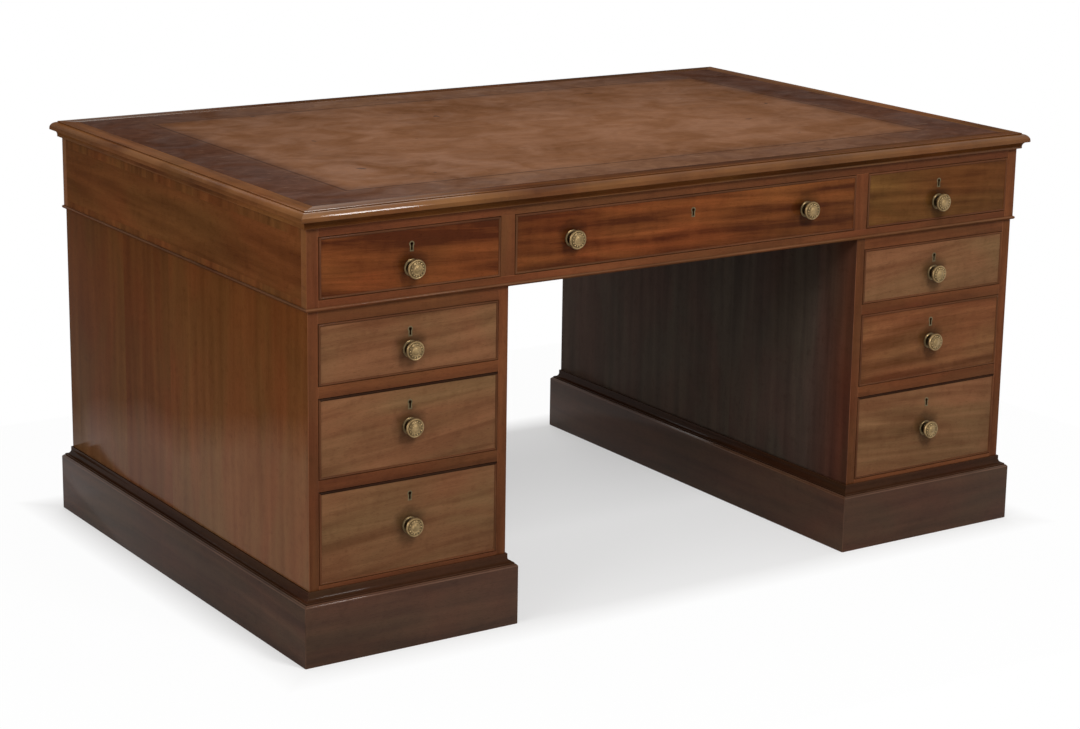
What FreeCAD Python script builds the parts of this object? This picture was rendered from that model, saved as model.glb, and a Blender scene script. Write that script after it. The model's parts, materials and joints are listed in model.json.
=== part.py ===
import FreeCAD, Part
import math
import os
import re
import Sketcher
from FreeCAD import Placement, Rotation, Vector

# A mahogany partners desk, in millimetres. The origin lies on the floor below the middle of the
# desk, +X runs along its width, -Y is the side with drawers in both pedestals, +Z is up.

document = FreeCAD.newDocument("PartnersDesk")

SIZES = {
    # carcase
    "carcase_width": 1542,
    "carcase_depth": 976,
    "pedestal_width": 386,
    "side_thickness": 19,
    "carcase_board": 16,
    "partition_thickness": 16,
    "cupboard_depth": 400,
    "rail_depth": 60,
    # plinth and the moulding planted on it
    "plinth_height": 110,
    "plinth_proud": 17,
    "plinth_thickness": 26,
    "plinth_chamfer": 3,
    "glue_block": 40,
    "moulding_lip": 3,
    "moulding_base": 2.5,
    "moulding_cove": 9,
    "moulding_fillet": 6.5,
    # heights of the rails and drawer openings of a pedestal, from the plinth up
    "bottom_rail": 25,
    "lower_drawer": 163,
    "middle_drawer": 140,
    "upper_drawer": 106,
    "drawer_rail": 20,
    "pedestal_top_rail": 22,
    "runner_width": 22,
    "dustboard_thickness": 6,
    # frieze
    "frieze_proud": 3,
    "frieze_end_thickness": 22,
    "frieze_bottom_rail": 18,
    "frieze_drawer": 105,
    "frieze_top_rail": 16,
    "short_drawer_width": 349,
    "divider_width": 28,
    "spine_thickness": 18,
    "soffit_thickness": 8,
    "bearer_reach": 20,
    "guide_height": 12,
    "bead_radius": 3,
    # top
    "top_overhang": 18,
    "top_thickness": 30,
    "border_width": 44,
    "quirk_depth": 2,
    "ovolo_radius": 12,
    "nose_height": 3,
    "nose_step": 2,
    "cavetto_radius": 9,
    "leather_thickness": 1.5,
    # drawers
    "front_thickness": 20,
    "front_gap": 1,
    "running_clearance": 0.3,
    "side_headroom": 2.5,
    "drawer_side": 10,
    "drawer_back": 9,
    "drawer_bottom": 6,
    "bottom_rise": 8,
    "groove_depth": 5,
    "back_drop": 6,
    "drawer_end_clearance": 20,
    "dovetail_lap": 8,
    "dovetail_pin": 6,
    "dovetail_slope_ratio": 8,
    "frieze_tails": 2,
    "upper_tails": 2,
    "middle_tails": 3,
    "lower_tails": 3,
    "back_tails": 2,
    "muntin_width": 28,
    "muntin_lip": 3,
    "cock_bead_width": 4,
    "cock_bead_depth": 8,
    "cock_bead_proud": 1.5,
    "cock_bead_chamfer": 1.2,
    "drawer_stop_length": 40,
    "drawer_stop_width": 12,
    "drawer_stop_height": 5,
    # locks and their keyholes
    "lock_width": 56,
    "lock_height": 42,
    "lock_depth": 9,
    "selvedge_thickness": 2,
    "keyhole_drop": 29,
    "keyhole_slot": 3.4,
    "keyhole_length": 11,
    # knobs
    "rose_radius": 15.5,
    "rose_thickness": 3,
    "neck_radius": 6.5,
    "neck_length": 8,
    "head_radius": 16.5,
    "head_thickness": 12,
    "knob_sides": 16,
    "neck_sides": 8,
    "frieze_knob_drop": 69,
    "upper_knob_drop": 63,
    "middle_knob_drop": 70.5,
    "lower_knob_drop": 85,
    "long_drawer_knob_drop": 53,
    "long_drawer_knob_spacing": 516,
    # cupboard doors
    "door_thickness": 20,
    "door_gap": 1,
    "stile_width": 54,
    "door_rail_width": 60,
    "panel_groove_width": 6,
    "panel_groove_depth": 8,
    "panel_clearance": 1,
    "panel_raise": 6,
    "panel_bevel": 34,
    "tenon_length": 30,
    "tenon_shoulder": 12,
    "door_lock_setback": 28,
    "door_knob_drop": 46,
    # butt hinges
    "hinge_height": 60,
    "hinge_inset": 60,
    "leaf_width": 17,
    "leaf_thickness": 1.9,
    "hinge_recess": 1.6,
    "knuckle_radius": 4,
    "knuckle_standoff": 0.3,
    "knuckle_gap": 0.3,
    "pin_radius": 1.6,
    "pin_clearance": 0.05,
}

PLACES = {
    # faces of the carcase, from the middle of the desk
    "carcase_face": "carcase_depth / 2",
    "carcase_end": "carcase_width / 2",
    "opening_outer": "carcase_end - side_thickness",
    "opening_inner": "carcase_end - pedestal_width + side_thickness",
    "opening_width": "opening_outer - opening_inner",
    "pedestal_centre": "carcase_end - pedestal_width / 2",
    "rail_back": "carcase_face - rail_depth",
    "cupboard_back": "carcase_face - door_thickness - cupboard_depth",
    "partition_face": "cupboard_back - partition_thickness",
    "pedestal_drawer_length": "carcase_face + partition_face - drawer_end_clearance",
    # levels, from the floor
    "lower_level": "plinth_height + bottom_rail",
    "lower_top": "lower_level + lower_drawer",
    "middle_level": "lower_top + drawer_rail",
    "middle_top": "middle_level + middle_drawer",
    "upper_level": "middle_top + drawer_rail",
    "upper_top": "upper_level + upper_drawer",
    "pedestal_top": "upper_top + pedestal_top_rail",
    "frieze_level": "pedestal_top + frieze_bottom_rail",
    "frieze_top": "frieze_level + frieze_drawer",
    "top_level": "frieze_top + frieze_top_rail",
    "desk_height": "top_level + top_thickness",
    # frieze
    "frieze_face": "carcase_face + frieze_proud",
    "frieze_end": "carcase_end + frieze_proud",
    "frieze_inner": "frieze_end - frieze_end_thickness",
    "frieze_rail_back": "frieze_face - rail_depth",
    "short_drawer_edge": "frieze_inner - short_drawer_width",
    "long_drawer_edge": "short_drawer_edge - divider_width",
    "long_drawer_width": "2 * long_drawer_edge",
    "short_drawer_centre": "(frieze_inner + short_drawer_edge) / 2",
    "frieze_drawer_length": "frieze_face - spine_thickness / 2 - drawer_end_clearance",
    "bearer_level": "frieze_level - bearer_thickness",
    "bearer_thickness": "frieze_bottom_rail - soffit_thickness",
    # hinges
    "hinge_axis_x": "opening_outer - door_gap / 2",
    "hinge_axis_y": "carcase_face + knuckle_standoff + knuckle_radius",
    "knuckle_height": "(hinge_height - 2 * knuckle_gap) / 3",
    "lower_hinge": "lower_level + hinge_inset",
    "upper_hinge": "upper_top - hinge_inset - hinge_height",
}

SHEET_OF = {**dict.fromkeys(SIZES, "Sizes"), **dict.fromkeys(PLACES, "Places")}


# ---------------------------------------------------------------- spreadsheets and formulas

def bound(formula):
    """The formula with each name written as the spreadsheet cell that holds it."""
    def cell(match):
        word = match[0]
        return f"{SHEET_OF[word]}.{word}" if word in SHEET_OF else word
    return re.sub(r"[a-z]\w*", cell, formula)


def value(formula):
    """The number that a formula gives now."""
    return float(sizes_sheet.evalExpression(bound(formula)))


def make_sheet(label, cells):
    """A spreadsheet with one named cell a row."""
    sheet = document.addObject("Spreadsheet::Sheet", label)
    for row, (alias, content) in enumerate(cells.items(), start=1):
        sheet.set(f"A{row}", str(content))
        sheet.setAlias(f"A{row}", alias)
    document.recompute()
    return sheet


sizes_sheet = make_sheet("Sizes", SIZES)
places_sheet = make_sheet("Places", {alias: f"={bound(formula)}" for alias, formula in PLACES.items()})


# ---------------------------------------------------------------- sketches and features

def sketch(body, name, plane, lift="0"):
    """An empty sketch on one of the body's own origin planes, lifted along the plane's normal."""
    drawing = body.newObject("Sketcher::SketchObject", name)
    support = next(item for item in body.Origin.OriginFeatures if item.Role == plane)
    drawing.AttachmentSupport = [(support, "")]
    drawing.MapMode = "FlatFace"
    if lift != "0":
        drawing.setExpression(".AttachmentOffset.Base.z", bound(lift))
    return drawing


def hold(drawing, kind, edge, spot, formula):
    """Keeps one coordinate of a point of the sketch at a formula of the spreadsheet."""
    if formula == "0":
        axis = -2 if kind == "DistanceX" else -1
        drawing.addConstraint(Sketcher.Constraint("PointOnObject", edge, spot, axis))
        return
    distance = Sketcher.Constraint(kind, -1, 1, edge, spot, value(formula))
    number = drawing.addConstraint(distance)
    drawing.setExpression(f"Constraints[{number}]", bound(formula))


def outline(drawing, steps):
    """A closed outline. A step (x, y) ends a straight edge there, and a step
    (x, y, centre_x, centre_y) ends an arc of less than half a turn about that centre."""
    corners = [Vector(value(step[0]), value(step[1]), 0) for step in steps]
    edges = []
    for index, step in enumerate(steps):
        start, end = corners[index - 1], corners[index]
        if len(step) == 2:
            edges.append((drawing.addGeometry(Part.LineSegment(start, end), False), 1, 2))
            continue
        centre = Vector(value(step[2]), value(step[3]), 0)
        turns_left = (start - centre).cross(end - centre).z > 0
        first, last = (start, end) if turns_left else (end, start)
        circle = Part.Circle(centre, Vector(0, 0, 1), (start - centre).Length)
        angles = [math.atan2(point.y - centre.y, point.x - centre.x) for point in (first, last)]
        edge = drawing.addGeometry(Part.ArcOfCircle(circle, *angles), False)
        edges.append((edge, 1, 2) if turns_left else (edge, 2, 1))
        hold(drawing, "DistanceX", edge, 3, step[2])
    for index, step in enumerate(steps):
        edge, _, end_spot = edges[index]
        next_edge, next_start_spot, _ = edges[(index + 1) % len(edges)]
        joined = Sketcher.Constraint("Coincident", edge, end_spot, next_edge, next_start_spot)
        drawing.addConstraint(joined)
        hold(drawing, "DistanceX", edge, end_spot, step[0])
        hold(drawing, "DistanceY", edge, end_spot, step[1])


def rectangle(drawing, across, along):
    """A rectangular outline over two spans, each a pair of formulas."""
    (left, right), (low, high) = across, along
    outline(drawing, [(left, low), (right, low), (right, high), (left, high)])


def circle(drawing, x, y, radius):
    """A circle about (x, y)."""
    centre = Vector(value(x), value(y), 0)
    edge = drawing.addGeometry(Part.Circle(centre, Vector(0, 0, 1), value(radius)), False)
    hold(drawing, "DistanceX", edge, 3, x)
    hold(drawing, "DistanceY", edge, 3, y)
    number = drawing.addConstraint(Sketcher.Constraint("Radius", edge, value(radius)))
    drawing.setExpression(f"Constraints[{number}]", bound(radius))


def new_body(name):
    return document.addObject("PartDesign::Body", name)


def pad(body, name, drawing, length, reverse=False):
    """Adds the sketch's outline to the body, length along the sketch's normal or against it."""
    feature = body.newObject("PartDesign::Pad", name)
    feature.Profile = drawing
    feature.Reversed = reverse
    feature.setExpression("Length", bound(length))
    document.recompute()
    return feature


def pocket(body, name, drawing, depth=None, reverse=False):
    """Cuts the sketch's outline out of the body, against the sketch's normal or along it, and
    right through if it has no depth."""
    volume_before = body.Shape.Volume
    feature = body.newObject("PartDesign::Pocket", name)
    feature.Profile = drawing
    feature.Reversed = reverse
    if depth is None:
        feature.Type = "ThroughAll"
    else:
        feature.setExpression("Length", bound(depth))
    document.recompute()
    if body.Shape.Volume >= volume_before:
        raise RuntimeError(f"{name} cuts nothing")
    return feature


def repeat_upwards(body, feature, drawing, pitch, count, both_ends=False):
    """Repeats a cut count times up the sketch, and mirrors the row to the other end if asked."""
    pattern = body.newObject("PartDesign::MultiTransform", f"{feature.Name}Pattern")
    pattern.Originals = [feature]
    row = body.newObject("PartDesign::LinearPattern", f"{feature.Name}Row")
    row.Direction = (drawing, ["V_Axis"])
    row.setExpression("Length", bound(f"{pitch} * ({count} - 1)"))
    row.setExpression("Occurrences", bound(count))
    steps = [row]
    if both_ends:
        mirror = body.newObject("PartDesign::Mirrored", f"{feature.Name}Mirror")
        plane = next(item for item in body.Origin.OriginFeatures if item.Role == "YZ_Plane")
        mirror.MirrorPlane = (plane, [""])
        steps.append(mirror)
    pattern.Transformations = steps
    body.Tip = pattern
    document.recompute()


# ---------------------------------------------------------------- boards, copies and nodes

def board(name, x, y, z):
    """A plain board that fills the spans x, y and z, each a pair of formulas."""
    box = document.addObject("Part::Box", name)
    for side, axis, (start, end) in zip(("Length", "Width", "Height"), "xyz", (x, y, z)):
        box.setExpression(side, bound(f"({end}) - ({start})"))
        box.setExpression(f".Placement.Base.{axis}", bound(start))
    return box


def on_side(sign, start, end):
    """The span from start to end, or its mirror image where sign is -1."""
    return (start, end) if sign > 0 else (f"-({end})", f"-({start})")


def mirror_image(piece):
    """The piece as it stands on the other side of the desk's YZ plane."""
    image = document.addObject("Part::Mirroring", f"{piece.Name}Mirrored")
    image.Source = piece
    image.Normal = Vector(1, 0, 0)
    return image


def group(name, pieces, x="0", y="0", z="0", turn=Rotation()):
    """Pieces that stay separate solids, moved together by x, y and z and turned."""
    compound = document.addObject("Part::Compound", name)
    compound.Links = pieces
    compound.Placement = Placement(Vector(), turn)
    for axis, formula in zip("xyz", (x, y, z)):
        if formula != "0":
            compound.setExpression(f".Placement.Base.{axis}", bound(formula))
    return compound


nodes = []


def node(name, pieces, **place):
    """One named sub-part of the desk, which is written to a file of its own."""
    compound = group(name, pieces, **place)
    compound.Label = name
    nodes.append(compound)


# ---------------------------------------------------------------- mitred mouldings

def mitred_strip(name, half_length, reach, width, base, steps, quarter):
    """One of the four lengths of a moulding round a rectangle, cut to a mitre at both ends.
    Steps give its section as (distance inwards from the outer edge, height)."""
    strip = new_body(name)
    section = sketch(strip, f"{name}Section", "YZ_Plane", f"-({half_length})")
    placed = []
    for step in steps:
        inwards = [f"-({reach}) + {coordinate}" for coordinate in step[::2]]
        placed.append(tuple(word for pair in zip(inwards, step[1::2]) for word in pair))
    outline(section, placed)
    pad(strip, f"{name}Length", section, f"2 * ({half_length})")
    mitres = sketch(strip, f"{name}Mitres", "XY_Plane", base)
    outer, inner = f"-({reach})", f"-({reach}) + {width}"
    for end in ("", "-"):
        corner, shoulder = f"{end}({half_length})", f"{end}({half_length} - {width})"
        outline(mitres, [(corner, outer), (corner, inner), (shoulder, inner)])
    pocket(strip, f"{name}MitreCut", mitres, reverse=True)
    strip.Placement = Placement(Vector(), Rotation(Vector(0, 0, 1), 90 * quarter))
    return strip


def mitred_frame(name, half_width, half_depth, width, base, steps):
    """The four mitred lengths of a moulding round a rectangle that is centred on the origin."""
    strips = []
    for quarter in range(4):
        extents = (half_width, half_depth) if quarter % 2 == 0 else (half_depth, half_width)
        strips.append(mitred_strip(f"{name}{quarter}", *extents, width, base, steps, quarter))
    return strips


def top_border():
    """The moulded border of the top: quirked ovolo, straight nose and cavetto below."""
    quirk = "top_level + top_thickness - quirk_depth"
    ovolo = f"{quirk} - ovolo_radius"
    nose = f"{ovolo} - nose_height"
    cavetto = f"{nose} - cavetto_radius"
    steps = [
        ("border_width", "top_level"),
        ("border_width", "desk_height"),
        ("ovolo_radius", "desk_height"),
        ("ovolo_radius", quirk),
        ("0", ovolo, "ovolo_radius", ovolo),
        ("0", nose),
        ("nose_step", nose),
        ("nose_step + cavetto_radius", cavetto, "nose_step", cavetto),
        ("nose_step + cavetto_radius", "top_level"),
    ]
    extents = ("frieze_end + top_overhang", "frieze_face + top_overhang")
    node("top_border", mitred_frame("TopBorder", *extents, "border_width", "top_level", steps))


def frieze_bead():
    """The half-round bead planted round the bottom edge of the frieze."""
    middle = "pedestal_top + bead_radius"
    steps = [
        ("bead_radius", "pedestal_top + 2 * bead_radius"),
        ("0", middle, "bead_radius", middle),
        ("bead_radius", "pedestal_top", "bead_radius", middle),
    ]
    extents = ("frieze_end + bead_radius", "frieze_face + bead_radius")
    node("frieze_bead", mitred_frame("FriezeBead", *extents, "bead_radius", "pedestal_top", steps))


def plinths():
    """Mitred plinth boards with corner blocks behind them, and the cove moulding on top."""
    edge = "plinth_height - plinth_chamfer"
    board_steps = [
        ("0", "0"),
        ("plinth_thickness", "0"),
        ("plinth_thickness", "plinth_height"),
        ("plinth_chamfer", "plinth_height"),
        ("0", edge),
    ]
    half_width, half_depth = "pedestal_width / 2 + plinth_proud", "carcase_face + plinth_proud"
    boards = mitred_frame("Plinth", half_width, half_depth, "plinth_thickness", "0", board_steps)
    blocks = []
    for x_sign in (-1, 1):
        for y_sign in (-1, 1):
            inner_x, inner_y = f"{half_width} - plinth_thickness", f"{half_depth} - plinth_thickness"
            blocks.append(board(
                "PlinthBlock",
                on_side(x_sign, f"{inner_x} - glue_block", inner_x),
                on_side(y_sign, f"{inner_y} - glue_block", inner_y),
                ("0", "plinth_height"),
            ))
    moulding_width = "(moulding_lip + moulding_cove)"
    foot = "plinth_height + moulding_base"
    cove_top = f"{foot} + moulding_cove"
    crown = f"{cove_top} + moulding_fillet"
    moulding_steps = [
        ("0", "plinth_height"),
        (moulding_width, "plinth_height"),
        (moulding_width, crown),
        ("moulding_cove", crown),
        ("moulding_cove", cove_top),
        ("0", foot, "0", cove_top),
    ]
    extents = (f"pedestal_width / 2 + {moulding_width}", f"carcase_face + {moulding_width}")
    mouldings = mitred_frame(
        "PlinthMoulding", *extents, moulding_width, "plinth_height", moulding_steps)
    placed = {"boards": [], "mouldings": []}
    for sign in ("-", ""):
        x = f"{sign}pedestal_centre"
        placed["boards"].append(group("PlinthBoards", boards + blocks, x=x))
        placed["mouldings"].append(group("PlinthMouldings", mouldings, x=x))
    for kind, pieces in placed.items():
        node(f"plinth_{kind}", pieces)


# ---------------------------------------------------------------- carcase

def top():
    """The board of the top inside its border, and the leather let in flush with the border."""
    x = ("-(frieze_end + top_overhang - border_width)", "frieze_end + top_overhang - border_width")
    y = ("-(frieze_face + top_overhang - border_width)", "frieze_face + top_overhang - border_width")
    node("top_panel", [board("TopBoard", x, y, ("top_level", "desk_height - leather_thickness"))])
    node("writing_leather", [board("Leather", x, y, ("desk_height - leather_thickness", "desk_height"))])


def frieze():
    """The box of the frieze: ends, rails, dividers and the spine between the two users' drawers."""
    inside = ("-frieze_inner", "frieze_inner")
    depth = ("-frieze_face", "frieze_face")
    height = ("pedestal_top", "top_level")
    ends = [board("FriezeEnd", on_side(sign, "frieze_inner", "frieze_end"), depth, height)
            for sign in (-1, 1)]
    rails = []
    dividers = []
    for side in (-1, 1):
        y = on_side(side, "frieze_rail_back", "frieze_face")
        rails.append(board("FriezeBottomRail", inside, y, ("pedestal_top", "frieze_level")))
        rails.append(board("FriezeTopRail", inside, y, ("frieze_top", "top_level")))
        for sign in (-1, 1):
            x = on_side(sign, "long_drawer_edge", "short_drawer_edge")
            dividers.append(board("FriezeDivider", x, y, ("frieze_level", "frieze_top")))
    spine = board("FriezeSpine", inside, ("-spine_thickness / 2", "spine_thickness / 2"),
                  ("bearer_level", "top_level"))
    node("frieze_ends", ends)
    node("frieze_rails", rails)
    node("frieze_dividers", dividers)
    node("frieze_spine", [spine])


def frieze_runners():
    """Soffit, and on each side of the spine the runners, guides and kickers of three drawers."""
    pieces = [board("Soffit", ("-frieze_inner", "frieze_inner"),
                    ("-frieze_rail_back", "frieze_rail_back"), ("pedestal_top", "bearer_level"))]
    for side in (-1, 1):
        y = on_side(side, "spine_thickness / 2", "frieze_rail_back")
        for sign in (-1, 1):
            outer = on_side(sign, "frieze_inner - bearer_reach", "frieze_inner")
            shared = on_side(sign, "long_drawer_edge - bearer_reach", "short_drawer_edge + bearer_reach")
            guide = on_side(sign, "long_drawer_edge", "short_drawer_edge")
            for x in (outer, shared):
                pieces.append(board("FriezeRunner", x, y, ("bearer_level", "frieze_level")))
                pieces.append(board("FriezeKicker", x, y, ("frieze_top", "top_level")))
            guide_height = ("frieze_level", "frieze_level + guide_height")
            pieces.append(board("FriezeGuide", guide, y, guide_height))
    node("frieze_runners", pieces)


def pedestal_sides():
    """Four pedestal sides. The outer ones are cut for the fixed leaves of the door hinges."""
    y = ("-carcase_face", "carcase_face")
    z = ("plinth_height", "pedestal_top")
    inner = [board("InnerSide", on_side(sign, "opening_inner - side_thickness", "opening_inner"), y, z)
             for sign in (-1, 1)]
    outer = new_body("OuterSide")
    face = sketch(outer, "OuterSideFace", "YZ_Plane", "opening_outer")
    rectangle(face, y, z)
    pad(outer, "OuterSidePad", face, "side_thickness")
    seats = sketch(outer, "OuterSideSeats", "YZ_Plane", "opening_outer")
    for level in ("lower_hinge", "upper_hinge"):
        rectangle(seats, ("carcase_face - leaf_width", "carcase_face"), (level, f"{level} + hinge_height"))
    pocket(outer, "OuterSideSeatCut", seats, "hinge_recess", reverse=True)
    node("pedestal_sides", inner + [outer, mirror_image(outer)])


def pedestal_insides():
    """Boards, partitions, rails, runners, dustboards and drawer stops inside both pedestals."""
    boards = []
    rails = []
    runners = []
    for sign in (-1, 1):
        x = on_side(sign, "opening_inner", "opening_outer")
        between = ("-rail_back", "rail_back")
        floor = ("lower_level - carcase_board", "lower_level")
        ceiling = ("pedestal_top - carcase_board", "pedestal_top")
        boards.append(board("PedestalFloor", x, between, floor))
        boards.append(board("PedestalCeiling", x, between, ceiling))
        partition_height = ("lower_level", "pedestal_top - carcase_board")
        boards.append(board("Partition", x, ("partition_face", "cupboard_back"), partition_height))
        front = ("-carcase_face", "-rail_back")
        for side in (-1, 1):
            y = on_side(side, "rail_back", "carcase_face")
            rails.append(board("BottomRail", x, y, ("plinth_height", "lower_level")))
            rails.append(board("TopRail", x, y, ("upper_top", "pedestal_top")))
        slide = ("-rail_back", "partition_face")
        outer = on_side(sign, "opening_outer - runner_width", "opening_outer")
        inner = on_side(sign, "opening_inner", "opening_inner + runner_width")
        middle = on_side(sign, "opening_inner + runner_width", "opening_outer - runner_width")
        for level in ("lower_top", "middle_top"):
            z = (level, f"{level} + drawer_rail")
            rails.append(board("DrawerRail", x, front, z))
            runners += [board("Runner", strip, slide, z) for strip in (outer, inner)]
            lift = f"{level} + (drawer_rail - dustboard_thickness) / 2"
            boards.append(board("Dustboard", middle, slide, (lift, f"{lift} + dustboard_thickness")))
        kicker_height = ("upper_top", "pedestal_top - carcase_board")
        runners += [board("Kicker", strip, slide, kicker_height) for strip in (outer, inner)]
        for level in ("lower_level", "middle_level", "upper_level"):
            runners += pedestal_stops(sign, level)
    node("pedestal_boards", boards)
    node("pedestal_rails", rails)
    node("pedestal_runners", runners)


def pedestal_stops(sign, level):
    """Two blocks on a rail that meet the back of a drawer's front when it is shut."""
    stop_front = "-carcase_face + front_thickness + running_clearance"
    stops = []
    for start, end in (
        ("opening_inner + runner_width", "opening_inner + runner_width + drawer_stop_length"),
        ("opening_outer - runner_width - drawer_stop_length", "opening_outer - runner_width"),
    ):
        stops.append(board(
            "DrawerStop",
            on_side(sign, start, end),
            (stop_front, f"{stop_front} + drawer_stop_width"),
            (level, f"{level} + drawer_stop_height"),
        ))
    return stops


# ---------------------------------------------------------------- brassware

FORWARD = Rotation(Vector(1, 0, 0), 90)


def turned(name, radius, sides, start, length):
    """A round piece of brass from y = -start towards -Y, drawn with flat sides to keep it light."""
    piece = document.addObject("Part::Prism", name)
    piece.setExpression("Circumradius", bound(radius))
    piece.setExpression("Polygon", bound(sides))
    piece.setExpression("Height", bound(length))
    piece.setExpression(".Placement.Base.y", bound(f"-({start})"))
    piece.Placement.Rotation = FORWARD
    return piece


# A brass knob at the origin, facing -Y: its rose, its neck and its head.
KNOB = [
    turned("KnobRose", "rose_radius", "knob_sides", "0", "rose_thickness"),
    turned("KnobNeck", "neck_radius", "neck_sides", "rose_thickness", "neck_length"),
    turned("KnobHead", "head_radius", "knob_sides", "rose_thickness + neck_length", "head_thickness"),
]


def keyhole(drawing, x, z):
    """The outline of a keyhole, an eye over a slot. The eye has six flat sides to keep it light,
    each as wide as the slot."""
    half_slot = "keyhole_slot / 2"
    rise = "keyhole_slot * sqrt(3) / 2"
    outline(drawing, [
        (f"{x} - {half_slot}", f"{z} - keyhole_length"),
        (f"{x} + {half_slot}", f"{z} - keyhole_length"),
        (f"{x} + {half_slot}", f"{z} - {rise}"),
        (f"{x} + keyhole_slot", z),
        (f"{x} + {half_slot}", f"{z} + {rise}"),
        (f"{x} - {half_slot}", f"{z} + {rise}"),
        (f"{x} - keyhole_slot", z),
        (f"{x} - {half_slot}", f"{z} - {rise}"),
    ])


def lock_section(top):
    """The section of a drawer lock through Y and Z: its case behind and its selvedge on top."""
    back = "front_thickness"
    case_front = "front_thickness - lock_depth"
    return [
        (back, f"{top} - lock_height"),
        (back, top),
        ("cock_bead_depth", top),
        ("cock_bead_depth", f"{top} - selvedge_thickness"),
        (case_front, f"{top} - selvedge_thickness"),
        (case_front, f"{top} - lock_height"),
    ]


# ---------------------------------------------------------------- drawers

def tail_outline(drawing, root, tip, centre, pitch):
    """A dovetail about the height 'centre', narrow at its root and wide at its tip."""
    wide = f"({pitch} - dovetail_pin) / 2"
    narrow = f"({wide} - abs(({tip}) - ({root})) / dovetail_slope_ratio)"
    outline(drawing, [
        (root, f"{centre} - {narrow}"),
        (root, f"{centre} + {narrow}"),
        (tip, f"{centre} + {wide}"),
        (tip, f"{centre} - {wide}"),
    ])


def pin_gaps(body, name, lift, root, tip, low, high, count):
    """Cuts the room for the pins between the tails of a drawer side: half pins at both
    edges and whole ones between."""
    pitch = f"(({high}) - ({low})) / {count}"
    thin = "dovetail_pin / 2"
    thick = f"(dovetail_pin / 2 + abs(({tip}) - ({root})) / dovetail_slope_ratio)"
    ends = sketch(body, f"{name}Ends", "YZ_Plane", lift)
    outline(ends, [(root, low), (root, f"{low} + {thick}"), (tip, f"{low} + {thin}"), (tip, low)])
    outline(ends, [(root, high), (root, f"{high} - {thick}"), (tip, f"{high} - {thin}"), (tip, high)])
    pocket(body, f"{name}EndCut", ends, "drawer_side", reverse=True)
    between = sketch(body, f"{name}Between", "YZ_Plane", lift)
    middle = f"{low} + {pitch}"
    outline(between, [
        (root, f"{middle} - {thick}"),
        (root, f"{middle} + {thick}"),
        (tip, f"{middle} + {thin}"),
        (tip, f"{middle} - {thin}"),
    ])
    gap = pocket(body, f"{name}Gap", between, "drawer_side", reverse=True)
    repeat_upwards(body, gap, between, pitch, f"({count} - 1)")


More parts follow.
